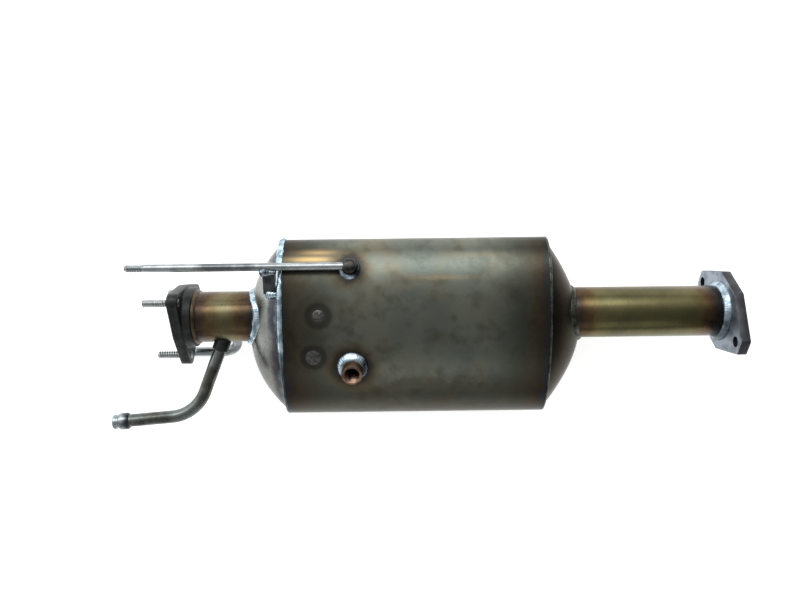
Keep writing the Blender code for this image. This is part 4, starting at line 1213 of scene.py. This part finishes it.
        def place(angle: float, lateral: float, lift: float) -> Vector:
            """Give the bead's point."""
            round_it = angle * LAYOUT.pipe_radius
            run = half * lateral * (1.0 + 0.36 * sway(round_it, seed + 2))
            swell = 1.0 + ripple(round_it, lateral, seed) if lift > 0 else 1.0
            along, up = leant(run, 0.6 * half * lift * swell, lean)
            radial = LAYOUT.pipe_radius + 0.5 * half + along
            point = LAYOUT.pipe_point(0.0, radial * math.cos(angle), radial * math.sin(angle))
            rise = LAYOUT.dome_rise(end, point.y, point.z) + 0.55 * half + up
            return point + ALONG * end.value * (LAYOUT.shell_half + rise)

        self.welded(looped(320, place), end.label + "_neck_bead", skin, end.label + "_pipe_weld")

    def nugget(self, name: str, spot: Corner, radius: float) -> None:
        """Make a plug weld: a low rough nugget over its hole.

        Args:
            name: Which of the two it is.
            spot: Its place on the shell.
            radius: Radius of the nugget's head.
        """
        stem, under, crown = self.plug_hole - 0.3 * MM, -0.2 * MM, 1.1 * MM
        profile = [(0.0, -LAYOUT.wall), (stem, -LAYOUT.wall), (stem, under), (radius, under)]
        for step in range(9):
            share = step / 8
            profile.append((radius * (1 - share), crown * math.sin(math.pi / 2 * share) ** 0.7))
        piece = turned(profile, 48)
        for vertex in piece.data.vertices:
            if vertex.co.z > 0.05 * MM:
                reach = math.hypot(vertex.co.x, vertex.co.y)
                swirl = 0.14 * math.sin(reach / (0.55 * MM) + math.atan2(vertex.co.y, vertex.co.x))
                vertex.co.z *= 1.0 + swirl + 0.5 * noise.noise(vertex.co / (1.6 * MM))
        aim(piece, *LAYOUT.surface(*spot))
        self.done(piece, "nugget_" + name, Skin.NUGGET, "weld_metal", "plug_weld_" + name)

    def long_seam(self) -> None:
        """Lay the flat seam of the rolled shell on its hidden side."""
        half = ALONG * self.long_seam_half
        piece = cylinder(-half, half, self.long_seam_radius, 16)
        foot, normal = LAYOUT.surface(0.0, 44.0 * MM, low=True)
        across = normal.cross(ALONG)
        for vertex in piece.data.vertices:
            swell = 1.0 + ripple(vertex.co.x + self.long_seam_half, vertex.co.y / self.long_seam_radius, 7.0)
            lift = vertex.co.z * (0.34 if vertex.co.z < 0 else 0.26 * swell)
            vertex.co = ALONG * vertex.co.x + foot + across * vertex.co.y + normal * lift
        close_up(piece)
        self.welded(piece, "shell_long_seam", Skin.WELD, "shell_seam_weld")

    def build(self) -> None:
        """Build the canister."""
        self.shell()
        self.cap(End.INLET, Skin.INLET_CAP)
        self.cap(End.OUTLET, Skin.OUTLET_CAP)
        self.seam_bead(End.INLET, self.inlet_widths, Skin.SEAM_WELD, 1.0)
        self.seam_bead(End.OUTLET, self.outlet_widths, Skin.DULL_WELD, 2.0)
        self.neck_bead(End.INLET, 2.8 * MM, Skin.WELD, 3.0)
        self.neck_bead(End.OUTLET, 2.2 * MM, Skin.DULL_WELD, 4.0)
        self.nugget("upper", LAYOUT.upper_plug, 5.6 * MM)
        self.nugget("lower", LAYOUT.lower_plug, 7.4 * MM)
        self.long_seam()


@dataclass
class Duct(Assembly):
    """A pipe with the fillet that joins it to its flange."""

    end: End
    face: float
    seat: float
    skin: Skin
    bead_skin: Skin
    bead_width: float
    bead_length: float
    seed: float
    taps: tuple[tuple[Vector, Vector, float], ...] = ()
    wall: float = 1.5 * MM
    recess: float = 2.0 * MM
    inner_end: float = 145.4 * MM

    def pipe(self) -> None:
        """Cut the pipe to length, give it its wall and pierce it for the taps."""
        start = LAYOUT.pipe_point(self.face - self.end.value * self.recess)
        end = LAYOUT.pipe_point(self.end.value * self.inner_end)
        piece = cylinder(start, end, LAYOUT.pipe_radius, 128, "NOTHING")
        modify(piece, "SOLIDIFY", thickness=self.wall, offset=-1.0)
        close_up(piece)
        modify(piece, "BEVEL", width=0.3 * MM, segments=2, limit_method="ANGLE")
        for tap_start, tap_end, radius in self.taps:
            drill(piece, tap_start, tap_end, radius, 32)
        self.done(piece, self.end.label + "_duct", self.skin, "pipe_steel", self.end.label + "_pipe")

    def flange_bead(self) -> None:
        """Lay the fillet between the pipe and the flange."""
        lean = math.atan2(self.bead_width, self.bead_length)
        half = 0.56 * math.hypot(self.bead_width, self.bead_length)

        def place(angle: float, lateral: float, lift: float) -> Vector:
            """Give the bead's point."""
            round_it = angle * LAYOUT.pipe_radius
            run = half * lateral * (1.0 + 0.12 * sway(round_it, self.seed, 14 * MM))
            swell = 1.0 + 0.7 * ripple(round_it, lateral, self.seed) if lift > 0 else 1.4
            along, up = leant(run, 0.34 * half * lift * swell, lean)
            radial = LAYOUT.pipe_radius + 0.44 * self.bead_width + up
            x = self.seat - self.end.value * (0.44 * self.bead_length + along)
            return LAYOUT.pipe_point(x, radial * math.cos(angle), radial * math.sin(angle))

        name = self.end.label + "_flange"
        self.welded(looped(300, place), name + "_bead", self.bead_skin, name + "_weld")

    def build(self) -> None:
        """Build the pipe and its fillet."""
        self.pipe()
        self.flange_bead()


@dataclass
class InletFlange(Assembly):
    """The three-lobed flange with its hub and its studs."""

    thickness: float = 10.0 * MM
    disc: float = 32.5 * MM
    pitch: float = 39.0 * MM
    lobe: float = 9.5 * MM
    heading: float = math.radians(56.0)
    hub: float = 30.0 * MM
    hub_length: float = 8.0 * MM
    stud: float = 4.0 * MM
    studs: tuple[tuple[str, float], ...] = (("upper", 25.0 * MM), ("rear", 24.0 * MM), ("lower", 21.0 * MM))

    def outline(self) -> list[Corner]:
        """Give the outline's corners: lobes and disc joined by straight tangents."""
        tangent = math.acos((self.disc - self.lobe) / self.pitch)
        between = math.tau / len(self.studs)
        corners = []
        for index in range(len(self.studs)):
            heading = self.heading + between * index
            centre = Vector((math.cos(heading), math.sin(heading))) * self.pitch
            for step in range(-12, 13):
                angle = heading + tangent * step / 12
                corners.append(tuple(centre + Vector((math.cos(angle), math.sin(angle))) * self.lobe))
            for step in range(7):
                angle = heading + tangent + (between - 2 * tangent) * step / 6
                corners.append((self.disc * math.cos(angle), self.disc * math.sin(angle)))
        return corners

    def lobe_centre(self, index: int, x: float) -> Vector:
        """Give the centre of a stud at a place along the part."""
        heading = self.heading + math.tau * index / len(self.studs)
        return LAYOUT.pipe_point(x, self.pitch * math.cos(heading), self.pitch * math.sin(heading))

    def flange(self) -> None:
        """Cut the plate, add its hub and bore it."""
        piece = plate(self.outline(), LAYOUT.inlet_face, self.thickness)
        middle = LAYOUT.pipe_point(LAYOUT.inlet_face + self.thickness)
        core, sunk, foot = 20 * MM, -4 * MM, self.hub + 1.2 * MM
        hub = turned(
            [
                (core, sunk),
                (foot, sunk),
                (foot, 0.0),
                (self.hub + 0.5 * MM, 0.5 * MM),
                (self.hub, 1.4 * MM),
                (self.hub, self.hub_length - 1.2 * MM),
                (self.hub - 0.4 * MM, self.hub_length - 0.4 * MM),
                (self.hub - 1.2 * MM, self.hub_length),
                (core, self.hub_length),
            ],
            128,
        )
        combine(piece, aim(hub, middle, ALONG), "UNION")
        drill(piece, middle - ALONG * CUTTER, middle + ALONG * CUTTER, LAYOUT.pipe_radius + PIPE_ROOM, 128)
        for index in range(len(self.studs)):
            start = self.lobe_centre(index, LAYOUT.inlet_face - 5 * MM)
            drill(piece, start, start + ALONG * 25 * MM, self.stud + 0.15 * MM, 40)
        self.done(piece, "three_stud_flange", Skin.INLET_FLANGE, "flange_steel", "inlet_flange")

    def threaded_studs(self) -> None:
        """Turn each stud and roll its thread."""
        for index, (name, reach) in enumerate(self.studs):
            length = self.thickness + reach
            profile = [(0.0, 0.0), (self.stud - 0.5 * MM, 0.0), (self.stud, 0.5 * MM)]
            profile += rings(self.stud, 1.0 * MM, length - 1.1 * MM, RIDGE_PITCH / 8)
            profile += [(self.stud, length - 1.0 * MM), (self.stud - 1.0 * MM, length), (0.0, length)]
            piece = turned(profile, 28)
            thread(piece, self.thickness - 2 * MM, length + MM, RIDGE_PITCH, 0.8 * MM)
            aim(piece, self.lobe_centre(index, LAYOUT.inlet_face + self.thickness), -ALONG)
            node = "inlet_stud_" + name
            self.done(piece, "stud_" + name, Skin.ZINC, "zinc_plate", node, sharp=SHARP_THREAD)

    def build(self) -> None:
        """Build the flange and its studs."""
        self.flange()
        self.threaded_studs()


@dataclass
class OutletFlange(Assembly):
    """The flat two-bolt flange with cut corners."""

    thickness: float = 9.5 * MM
    length: float = 115.0 * MM
    width: float = 71.0 * MM
    end_flat: float = 16.0 * MM
    side_flat: float = 36.0 * MM
    turn: float = math.radians(115.5)
    bolt_pitch: float = 95.0 * MM
    bolt_hole: float = 5.25 * MM
    corner: float = 3.0 * MM

    def outline(self) -> list[Corner]:
        """Give the outline's corners, each rounded."""
        quarter = [(self.length / 2, self.end_flat / 2), (self.side_flat / 2, self.width / 2)]
        corners = quarter + [(-x, y) for x, y in quarter[::-1]]
        corners += [(-x, -y) for x, y in corners]
        points = [Vector((x, y, 0.0)) for x, y in corners]
        rounded = []
        for index, corner in enumerate(points):
            before, after = points[index - 1], points[(index + 1) % len(points)]
            into, away = (before - corner).normalized(), (after - corner).normalized()
            opening = into.angle(away)
            reach = self.corner / math.tan(opening / 2)
            start, end = corner + into * reach, corner + away * reach
            centre = corner + (into + away).normalized() * (self.corner / math.sin(opening / 2))
            for step in range(7):
                arm = (start - centre).lerp(end - centre, step / 6)
                rounded.append(centre + arm.normalized() * self.corner)
        swing = Matrix.Rotation(self.turn, 3, "Z")
        return [tuple((swing @ point).xy) for point in rounded]

    def build(self) -> None:
        """Cut the plate and bore it."""
        start = LAYOUT.outlet_face - self.thickness
        piece = plate(self.outline(), start, self.thickness)
        reach = self.bolt_pitch / 2 * Vector((0.0, math.cos(self.turn), math.sin(self.turn)))
        middle = LAYOUT.pipe_point(start)
        bores = (
            (middle, LAYOUT.pipe_radius + PIPE_ROOM, 128),
            (middle - reach, self.bolt_hole, 40),
            (middle + reach, self.bolt_hole, 40),
        )
        for centre, radius, sides in bores:
            drill(piece, centre - ALONG * CUTTER, centre + ALONG * CUTTER, radius, sides)
        self.done(piece, "two_bolt_flange", Skin.OUTLET_FLANGE, "flange_steel", "outlet_flange")


@dataclass
class SupportRod(Assembly):
    """The long rod with its threaded tip, its boss, and the strap that carries it."""

    radius: float = 3.8 * MM
    tip: float = -274.0 * MM
    standoff: float = 7.7 * MM
    boss_radius: float = 7.75 * MM
    boss_height: float = 13.0 * MM
    seat: float = 10.0 * MM
    thread_length: float = 19.0 * MM
    strap_width: float = 11.5 * MM
    strap_thickness: float = 3.0 * MM
    strap_drop: float = math.radians(3.0)
    strap_reach: float = 26.5 * MM
    strap_end: float = -133.0 * MM

    def axis_point(self, x: float) -> Vector:
        """Give a point on the rod's axis."""
        foot, normal = LAYOUT.surface(x, LAYOUT.rod_boss[1])
        return foot + normal * self.standoff

    def rod(self) -> None:
        """Turn the rod and roll its thread."""
        start = self.axis_point(LAYOUT.rod_boss[0] - self.boss_radius + self.seat)
        length = start.x - self.tip
        smooth, chamfer = length - self.thread_length, 1.2 * MM
        profile = [(0.0, 0.0), (self.radius, 0.0)]
        profile += [(self.radius, step * smooth / 24) for step in range(1, 24)]
        profile += rings(self.radius, smooth, length - 1.3 * MM, 0.25 * MM)
        profile += [(self.radius - 0.2 * MM, length - chamfer), (self.radius - chamfer, length)]
        profile.append((0.0, length))
        piece = turned(profile, 32)
        thread(piece, smooth, length + MM, RIDGE_PITCH, 1.1 * MM)
        aim(piece, start, -ALONG)
        self.done(piece, "long_rod", Skin.ROD, "rod_steel", "support_rod", sharp=SHARP_THREAD)

    def boss(self) -> None:
        """Turn the boss with its rounded top, drill it for the rod and weld it down."""
        foot, normal = LAYOUT.surface(*LAYOUT.rod_boss)
        radius, height, straight = self.boss_radius, self.boss_height, 0.62
        profile = [(0.0, -2 * MM), (radius, -2 * MM), (radius, straight * height)]
        for step in range(1, 10):
            angle = math.pi / 2 * step / 9
            out = radius * math.cos(angle) ** 0.8 if step < 9 else 0.0
            profile.append((out, height * (straight + (1.0 - straight) * math.sin(angle))))
        piece = aim(turned(profile, 64), foot, normal)
        start = self.axis_point(LAYOUT.rod_boss[0])
        end = start + ALONG * (self.seat - self.boss_radius)
        drill(piece, start - ALONG * CUTTER, end, self.radius + 0.15 * MM, 40)
        self.done(piece, "round_boss", Skin.BOSS, "rod_steel", "rod_boss")
        bead = boss_bead(foot, normal, radius, 2.7 * MM, 2.6 * MM, Vector((-0.35, -0.35, 0.0)), 11.0)
        self.welded(bead, "round_boss_bead", Skin.ROD_WELD, "rod_boss_weld")

    def strap(self) -> None:
        """Cut the strap that runs from the rod to the inlet cap, and round its edges."""
        deselect()
        bpy.ops.mesh.primitive_cube_add(size=1.0)
        piece = bpy.context.object
        size = (self.strap_width, self.strap_reach - self.radius, self.strap_thickness, 1.0)
        piece.data.transform(Matrix.Diagonal(size))
        edit(piece, lambda: bpy.ops.mesh.subdivide(number_cuts=5))
        modify(piece, "BEVEL", width=0.6 * MM, segments=3, limit_method="ANGLE")
        turn = Matrix.Rotation(self.strap_drop, 4, "X")
        half_way = Vector((0.0, -(self.strap_reach + self.radius) / 2, 0.0))
        middle = self.axis_point(0.0) + turn.to_3x3() @ half_way
        middle.x = self.strap_end - self.strap_width / 2
        piece.data.transform(Matrix.Translation(middle) @ turn)
        self.done(piece, "rod_strap", Skin.STRAP, "rod_steel", "rod_bracket")

    def bead(
        self, name: str, node: str, ends: Sequence[Vector], radius: float, skin: Skin, seed: float
    ) -> None:
        """Lay a short open bead: a rippled bar with round ends.

        Args:
            name: Its name.
            node: The CAD node that it replaces.
            ends: Where it starts and ends.
            radius: Its radius.
            skin: Its finish.
            seed: Number that makes the bead its own.
        """
        start, end = ends
        half = (end - start).length / 2
        deselect()
        bpy.ops.mesh.primitive_uv_sphere_add(segments=24, ring_count=40, radius=1.0)
        piece = bpy.context.object
        for vertex in piece.data.vertices:
            x, y, height = vertex.co
            reach = math.hypot(x, y) or 1.0
            fat = max(0.0, 1.0 - abs(height) ** 5) ** 0.5
            out = radius / reach * fat * (1.0 + 1.3 * ripple(height * half, x / reach, seed))
            vertex.co = (x * out, y * out, height * (half + 0.4 * MM))
        self.welded(aim(piece, (start + end) / 2, end - start), name, skin, node)

    def beads(self) -> None:
        """Lay the strap's two beads."""
        rod = self.axis_point(0.0)
        first, last = self.strap_end + 2.0 * MM, self.strap_end - self.strap_width - 2.5 * MM
        top = [Vector((x, rod.y - 4.9 * MM, rod.z + 2.4 * MM)) for x in (first, last)]
        self.bead("strap_rod_bead", "bracket_rod_weld", top, 3.5 * MM, Skin.DARK_WELD, 12.0)
        across = rod.y - self.strap_reach - 0.5 * MM
        level = rod.z - self.strap_reach * math.sin(self.strap_drop) - 0.6 * MM
        foot = [Vector((x, across, level)) for x in (first + MM, last + 4.5 * MM)]
        self.bead("strap_foot_bead", "bracket_foot_weld", foot, 3.6 * MM, Skin.WELD, 13.0)

    def build(self) -> None:
        """Build the rod and what carries it."""
        self.rod()
        self.boss()
        self.strap()
        self.beads()


@dataclass
class SensorBoss(Assembly):
    """The threaded boss for a sensor, with the weld round its foot."""

    radius: float = 10.0 * MM
    bore: float = 6.95 * MM
    height: float = 16.0 * MM
    pitch: float = 1.25 * MM
    rim: float = 0.8 * MM

    def build(self) -> None:
        """Turn the boss, tap it and weld it down."""
        foot, normal = LAYOUT.surface(*LAYOUT.sensor)
        top, rim, sunk = self.height, self.rim, -1.5 * MM
        profile = [(self.bore, sunk), (self.radius, sunk), (self.radius, top - rim)]
        profile += [(self.radius - 0.3 * rim, top - 0.3 * rim), (self.radius - rim, top)]
        profile += [(self.bore + 1.2 * rim, top), (self.bore, top - 1.2 * rim)]
        profile += rings(self.bore, top - 1.5 * rim, -1.3 * MM, -self.pitch / 5)
        piece = turned(profile, 64)
        thread(piece, -1.4 * MM, top - rim, self.pitch, 0.6 * MM, bore=self.bore + 0.1 * MM)
        aim(piece, foot, normal)
        self.done(piece, "tapped_boss", Skin.SENSOR, "cap_steel", "sensor_boss", sharp=SHARP_THREAD)
        bead = boss_bead(foot, normal, self.radius, 5.4 * MM, 5.4 * MM, Vector((-0.1, 0.1, 0.0)), 21.0)
        self.welded(bead, "tapped_boss_bead", Skin.SENSOR_WELD, "sensor_boss_weld")


@dataclass
class PressureTaps(Assembly):
    """The two pipes that tap the pressure before the filter."""

    front_x: float = -184.5 * MM
    front_tilt: float = math.radians(16.1)
    front_slant: float = math.radians(19.8)
    front_radius: float = 6.35 * MM
    front_wall: float = 1.5 * MM
    front_drop: float = 98.0 * MM
    front_reach: tuple[float, float, float] = (-111.5 * MM, -98.6 * MM, 32.8 * MM)
    front_bend: float = 37.0 * MM
    front_boss: float = 8.0 * MM
    rear_x: float = -185.5 * MM
    rear_tilt: float = math.radians(33.0)
    rear_radius: float = 5.0 * MM
    rear_wall: float = 1.2 * MM
    rear_drop: float = 55.0 * MM
    rear_reach: float = 52.0 * MM
    rear_bend: float = 18.0 * MM

    def front_axis(self) -> tuple[Vector, Vector]:
        """Give where the front pipe's axis leaves the duct's, and its direction."""
        square = Vector((0.0, -math.cos(self.front_tilt), math.sin(self.front_tilt)))
        heading = square * math.cos(self.front_slant) - ALONG * math.sin(self.front_slant)
        return LAYOUT.pipe_point(self.front_x), heading

    def rear_axis(self) -> tuple[Vector, Vector]:
        """Give where the rear pipe's axis leaves the duct's, and its direction."""
        heading = Vector((0.0, -math.cos(self.rear_tilt), -math.sin(self.rear_tilt)))
        return LAYOUT.pipe_point(self.rear_x), heading

    def holes(self) -> tuple[tuple[Vector, Vector, float], ...]:
        """Give the start, the end and the radius of the holes that the taps need in the duct."""
        axes = ((self.front_axis(), 3.5 * MM), (self.rear_axis(), 3.8 * MM))
        return tuple((base, base + way * 40 * MM, radius) for (base, way), radius in axes)

    def front(self) -> None:
        """Bend the front pipe, and add its boss and its nipple."""
        base, heading = self.front_axis()
        start = base + heading * (LAYOUT.pipe_radius + 2.4 * MM) / math.cos(self.front_slant)
        corner = base + heading * self.front_drop / math.cos(self.front_slant)
        route = bend([start, corner, base + Vector(self.front_reach)], self.front_bend)
        pipe = tube(route, self.front_radius, self.front_wall)
        self.done(pipe, "front_tap_pipe", Skin.TAP, "tube_steel", "front_pressure_pipe")
        inner = self.front_radius / MM
        outer = self.front_boss / MM
        profile = ((inner, 20), (outer, 20), (outer, 35.0), (7.7, 36.0), (6.9, 36.6), (inner, 36.8))
        boss = aim(turned(millimetres(*profile), 48), base, heading)
        drill(boss, base - ALONG * 3 * CUTTER, base + ALONG * 3 * CUTTER, LAYOUT.pipe_radius - 0.2 * MM, 128)
        self.done(boss, "front_tap_boss", Skin.INLET_FLANGE, "flange_steel", "front_pressure_boss")
        outward = (route[-1] - route[-2]).normalized()
        profile = millimetres(
            (4.85, 5.5), (4.85, 0.3), (5.6, -0.1), (6.9, 0.5), (7.5, 1.6), (7.4, 3.0), (6.7, 4.0), (6.7, 5.4),
            (7.6, 6.2), (8.3, 7.2), (8.3, 14.2), (7.9, 15.3), (7.0, 16.0), (6.4, 16.0), (6.4, 5.5),
        )
        nipple = aim(turned(profile, 48), route[-1] + outward * 5.5 * MM, -outward)
        self.done(nipple, "hose_end", Skin.HOSE_END, "zinc_plate", "hose_nipple")

    def rear(self) -> None:
        """Bend the rear pipe and weld it to the duct."""
        base, heading = self.rear_axis()
        start = base + heading * (LAYOUT.pipe_radius + 0.2 * MM)
        corner = base + heading * self.rear_drop
        route = bend([start, corner, corner - ALONG * self.rear_reach], self.rear_bend)
        pipe = tube(route, self.rear_radius, self.rear_wall)
        self.done(pipe, "rear_tap_pipe", Skin.ROD, "tube_steel", "rear_pressure_pipe")
        turn_to = heading.to_track_quat("Z", "Y")

        def place(angle: float, lateral: float, lift: float) -> Vector:
            """Give the bead's point, on a saddle round the duct."""
            swell = 1.0 + 1.2 * ripple(angle * 7 * MM, lateral, 31.0)
            radius = self.rear_radius + (1.2 + 1.7 * lateral + 0.8 * lift * swell) * MM
            height = (1.2 - 1.7 * lateral + 0.8 * lift * swell) * MM
            out = turn_to @ Vector((math.cos(angle), math.sin(angle), 0.0))
            saddle = math.sqrt(LAYOUT.pipe_radius**2 - (1 - out.x**2) * radius**2)
            return base + out * radius + heading * (saddle + height)

        self.welded(looped(90, place, 12), "rear_tap_bead", Skin.WELD, "rear_pressure_weld")

    def build(self) -> None:
        """Build both taps."""
        self.front()
        self.rear()


@dataclass(frozen=True)
class View:
    """The photograph's camera, given over the canister's middle with the part rolled as it was."""

    across: float = -14.5 * MM
    up: float = 26.9 * MM
    height: float = 740.0 * MM
    tilt: float = math.radians(0.7)
    focal_pixels: float = 729.0
    picture_width: float = 800.0
    sensor: float = 36.0

    def make(self, rest: Rest, placing: Matrix) -> None:
        """Set up the camera.

        Args:
            rest: How the part lies.
            placing: The move from the part's own frame to the floor's.
        """
        data = bpy.data.cameras.new("photo_camera")
        data.sensor_width = self.sensor
        data.lens = self.focal_pixels / self.picture_width * self.sensor
        camera = bpy.data.objects.new("photo_camera", data)
        bpy.context.collection.objects.link(camera)
        camera.matrix_world = (
            placing
            @ Matrix.Rotation(-rest.photo_roll, 4, "X")
            @ Matrix.Translation((self.across, self.up, self.height))
            @ Matrix.Rotation(-self.tilt, 4, "Z")
        )
        bpy.context.scene.camera = camera


@dataclass(frozen=True)
class Studio:
    """A white floor, two soft lamps, and a world of soft strips with a white background."""

    floor_half: float = 6.0
    key_power: float = 4.5
    fill_power: float = 1.0
    # Degrees from straight up toward the rod's side, and the world's strength there
    strips: tuple[Corner, ...] = (
        (-110.0, 0.55), (-80.0, 0.36), (-40.0, 0.34), (-14.0, 0.36), (4.0, 0.42), (20.0, 0.6),
        (36.0, 1.2), (52.0, 1.9), (68.0, 1.7), (82.0, 0.6), (110.0, 0.35),
    )
    # The world's strength toward the inlet, straight up and toward the outlet
    lengthwise: tuple[float, float, float] = (1.5, 1.0, 0.3)

    def floor(self) -> None:
        """Lay the floor: white to the eye, with a faint shadow under the part."""
        deselect()
        bpy.ops.mesh.primitive_grid_add(x_subdivisions=4, y_subdivisions=4, size=2 * self.floor_half)
        floor = bpy.context.object
        floor.name = "studio_floor"
        # White paper: matt, and lit from within only for the eye, for mirrors and for glass
        material = bpy.data.materials.new("white_paper")
        material.use_nodes = True
        tree = material.node_tree
        tree.nodes.remove(tree.nodes["Principled BSDF"])
        nodes = Nodes(tree)
        paper = nodes.add("BsdfDiffuse", {"Color": (0.8, 0.8, 0.8, 1.0)}).outputs[0]
        glow = nodes.add("Emission", {"Strength": 0.75}).outputs[0]
        bright = nodes.add("AddShader", {0: paper, 1: glow}).outputs[0]
        seen = nodes.add("LightPath").outputs
        direct = nodes.math("MAXIMUM", seen["Is Camera Ray"], seen["Is Glossy Ray"])
        white = nodes.math("MAXIMUM", direct, seen["Is Transmission Ray"])
        mix = nodes.add("MixShader", {0: white, 1: paper, 2: bright}).outputs[0]
        tree.links.new(mix, tree.nodes["Material Output"].inputs["Surface"])
        floor.data.materials.append(material)

    def lamp(self, name: str, place: Vector, size: Corner, power: float) -> None:
        """Hang a soft rectangular lamp that points at the part.

        Args:
            name: Its name.
            place: Where it hangs.
            size: Its length and width.
            power: Its power in watts.
        """
        data = bpy.data.lights.new(name, "AREA")
        data.shape = "RECTANGLE"
        data.size, data.size_y = size
        data.energy = power
        lamp = bpy.data.objects.new(name, data)
        bpy.context.collection.objects.link(lamp)
        turn = (place - Vector((0.0, 0.0, 0.05))).to_track_quat("Z", "Y")
        lamp.matrix_world = Matrix.Translation(place) @ turn.to_matrix().to_4x4()

    def world(self) -> None:
        """Set soft strips overhead, brightest over the rod's side, and a white background.

        The camera sees white everywhere; mirrors and glass see it near the horizon only.
        """
        world = bpy.data.worlds.new("pale_studio")
        bpy.context.scene.world = world
        world.use_nodes = True
        tree = world.node_tree
        back = tree.nodes["Background"]
        back.inputs["Color"].default_value = (1.0, 1.0, 1.0, 1.0)
        nodes = Nodes(tree)
        along, across, up = nodes.add("SeparateXYZ", {0: nodes.add("TexCoord").outputs["Generated"]}).outputs
        swing = nodes.math("ARCTAN2", across, up)
        strips = nodes.level(
            nodes.remap(swing, -math.pi, math.pi, 0.0, 1.0),
            [(0.5 + angle / 360, strength) for angle, strength in self.strips],
        )
        ends = nodes.level(
            nodes.remap(along, -1.0, 1.0, 0.0, 1.0),
            [(index / 2, strength) for index, strength in enumerate(self.lengthwise)],
        )
        sky = nodes.math("MULTIPLY", strips, ends)
        seen = nodes.add("LightPath").outputs
        mirrored = nodes.math("MAXIMUM", seen["Is Glossy Ray"], seen["Is Transmission Ray"])
        low = nodes.remap(nodes.math("ABSOLUTE", up), 0.05, 0.2, 1.0, 0.0)
        skirting = nodes.math("MULTIPLY", mirrored, low)
        white = nodes.math("MAXIMUM", seen["Is Camera Ray"], skirting)
        mix = nodes.add("Mix", {0: white, 2: sky, 3: 1.0}, data_type="FLOAT")
        tree.links.new(mix.outputs[0], back.inputs["Strength"])

    def build(self) -> None:
        """Set up the studio."""
        self.floor()
        self.world()
        self.lamp("key", Vector((-0.15, 0.95, 0.93)), (1.5, 0.5), self.key_power)
        self.lamp("fill", Vector((0.2, -1.0, 0.8)), (1.2, 0.6), self.fill_power)


def main() -> None:
    """Dress the filter."""
    logging.basicConfig(level=logging.INFO, format="%(message)s")
    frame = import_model()
    rest = Rest()
    placing = rest.placing()
    bpy.context.scene.view_settings.view_transform = "Standard"
    View().make(rest, placing)
    made = {skin: skin.value.make(placing) for skin in Skin}
    Canister(placing, made).build()
    taps = PressureTaps(placing, made)
    Duct(
        placing, made, End.INLET, LAYOUT.inlet_face, -219.0 * MM, Skin.INLET_DUCT, Skin.BROWN_WELD,
        bead_width=2.2 * MM, bead_length=3.6 * MM, seed=5.0, taps=taps.holes(),
    ).build()
    Duct(
        placing, made, End.OUTLET, LAYOUT.outlet_face, 307.0 * MM, Skin.OUTLET_DUCT, Skin.FLANGE_WELD,
        bead_width=4.6 * MM, bead_length=5.6 * MM, seed=6.0,
    ).build()
    InletFlange(placing, made).build()
    OutletFlange(placing, made).build()
    SupportRod(placing, made).build()
    SensorBoss(placing, made).build()
    taps.build()
    inner = {
        "filter_monolith": Skin.MONOLITH,
        "support_mat": Skin.MAT,
        "inlet_mat_ring": Skin.KNIT,
        "outlet_mat_ring": Skin.KNIT,
        "inlet_baffle": Skin.BAFFLE,
    }
    for node, skin in inner.items():
        mesh = frame["nodes"][node].data
        mesh.materials.clear()
        mesh.materials.append(made[skin])
    Studio().build()


if __name__ == "__main__":
    main()
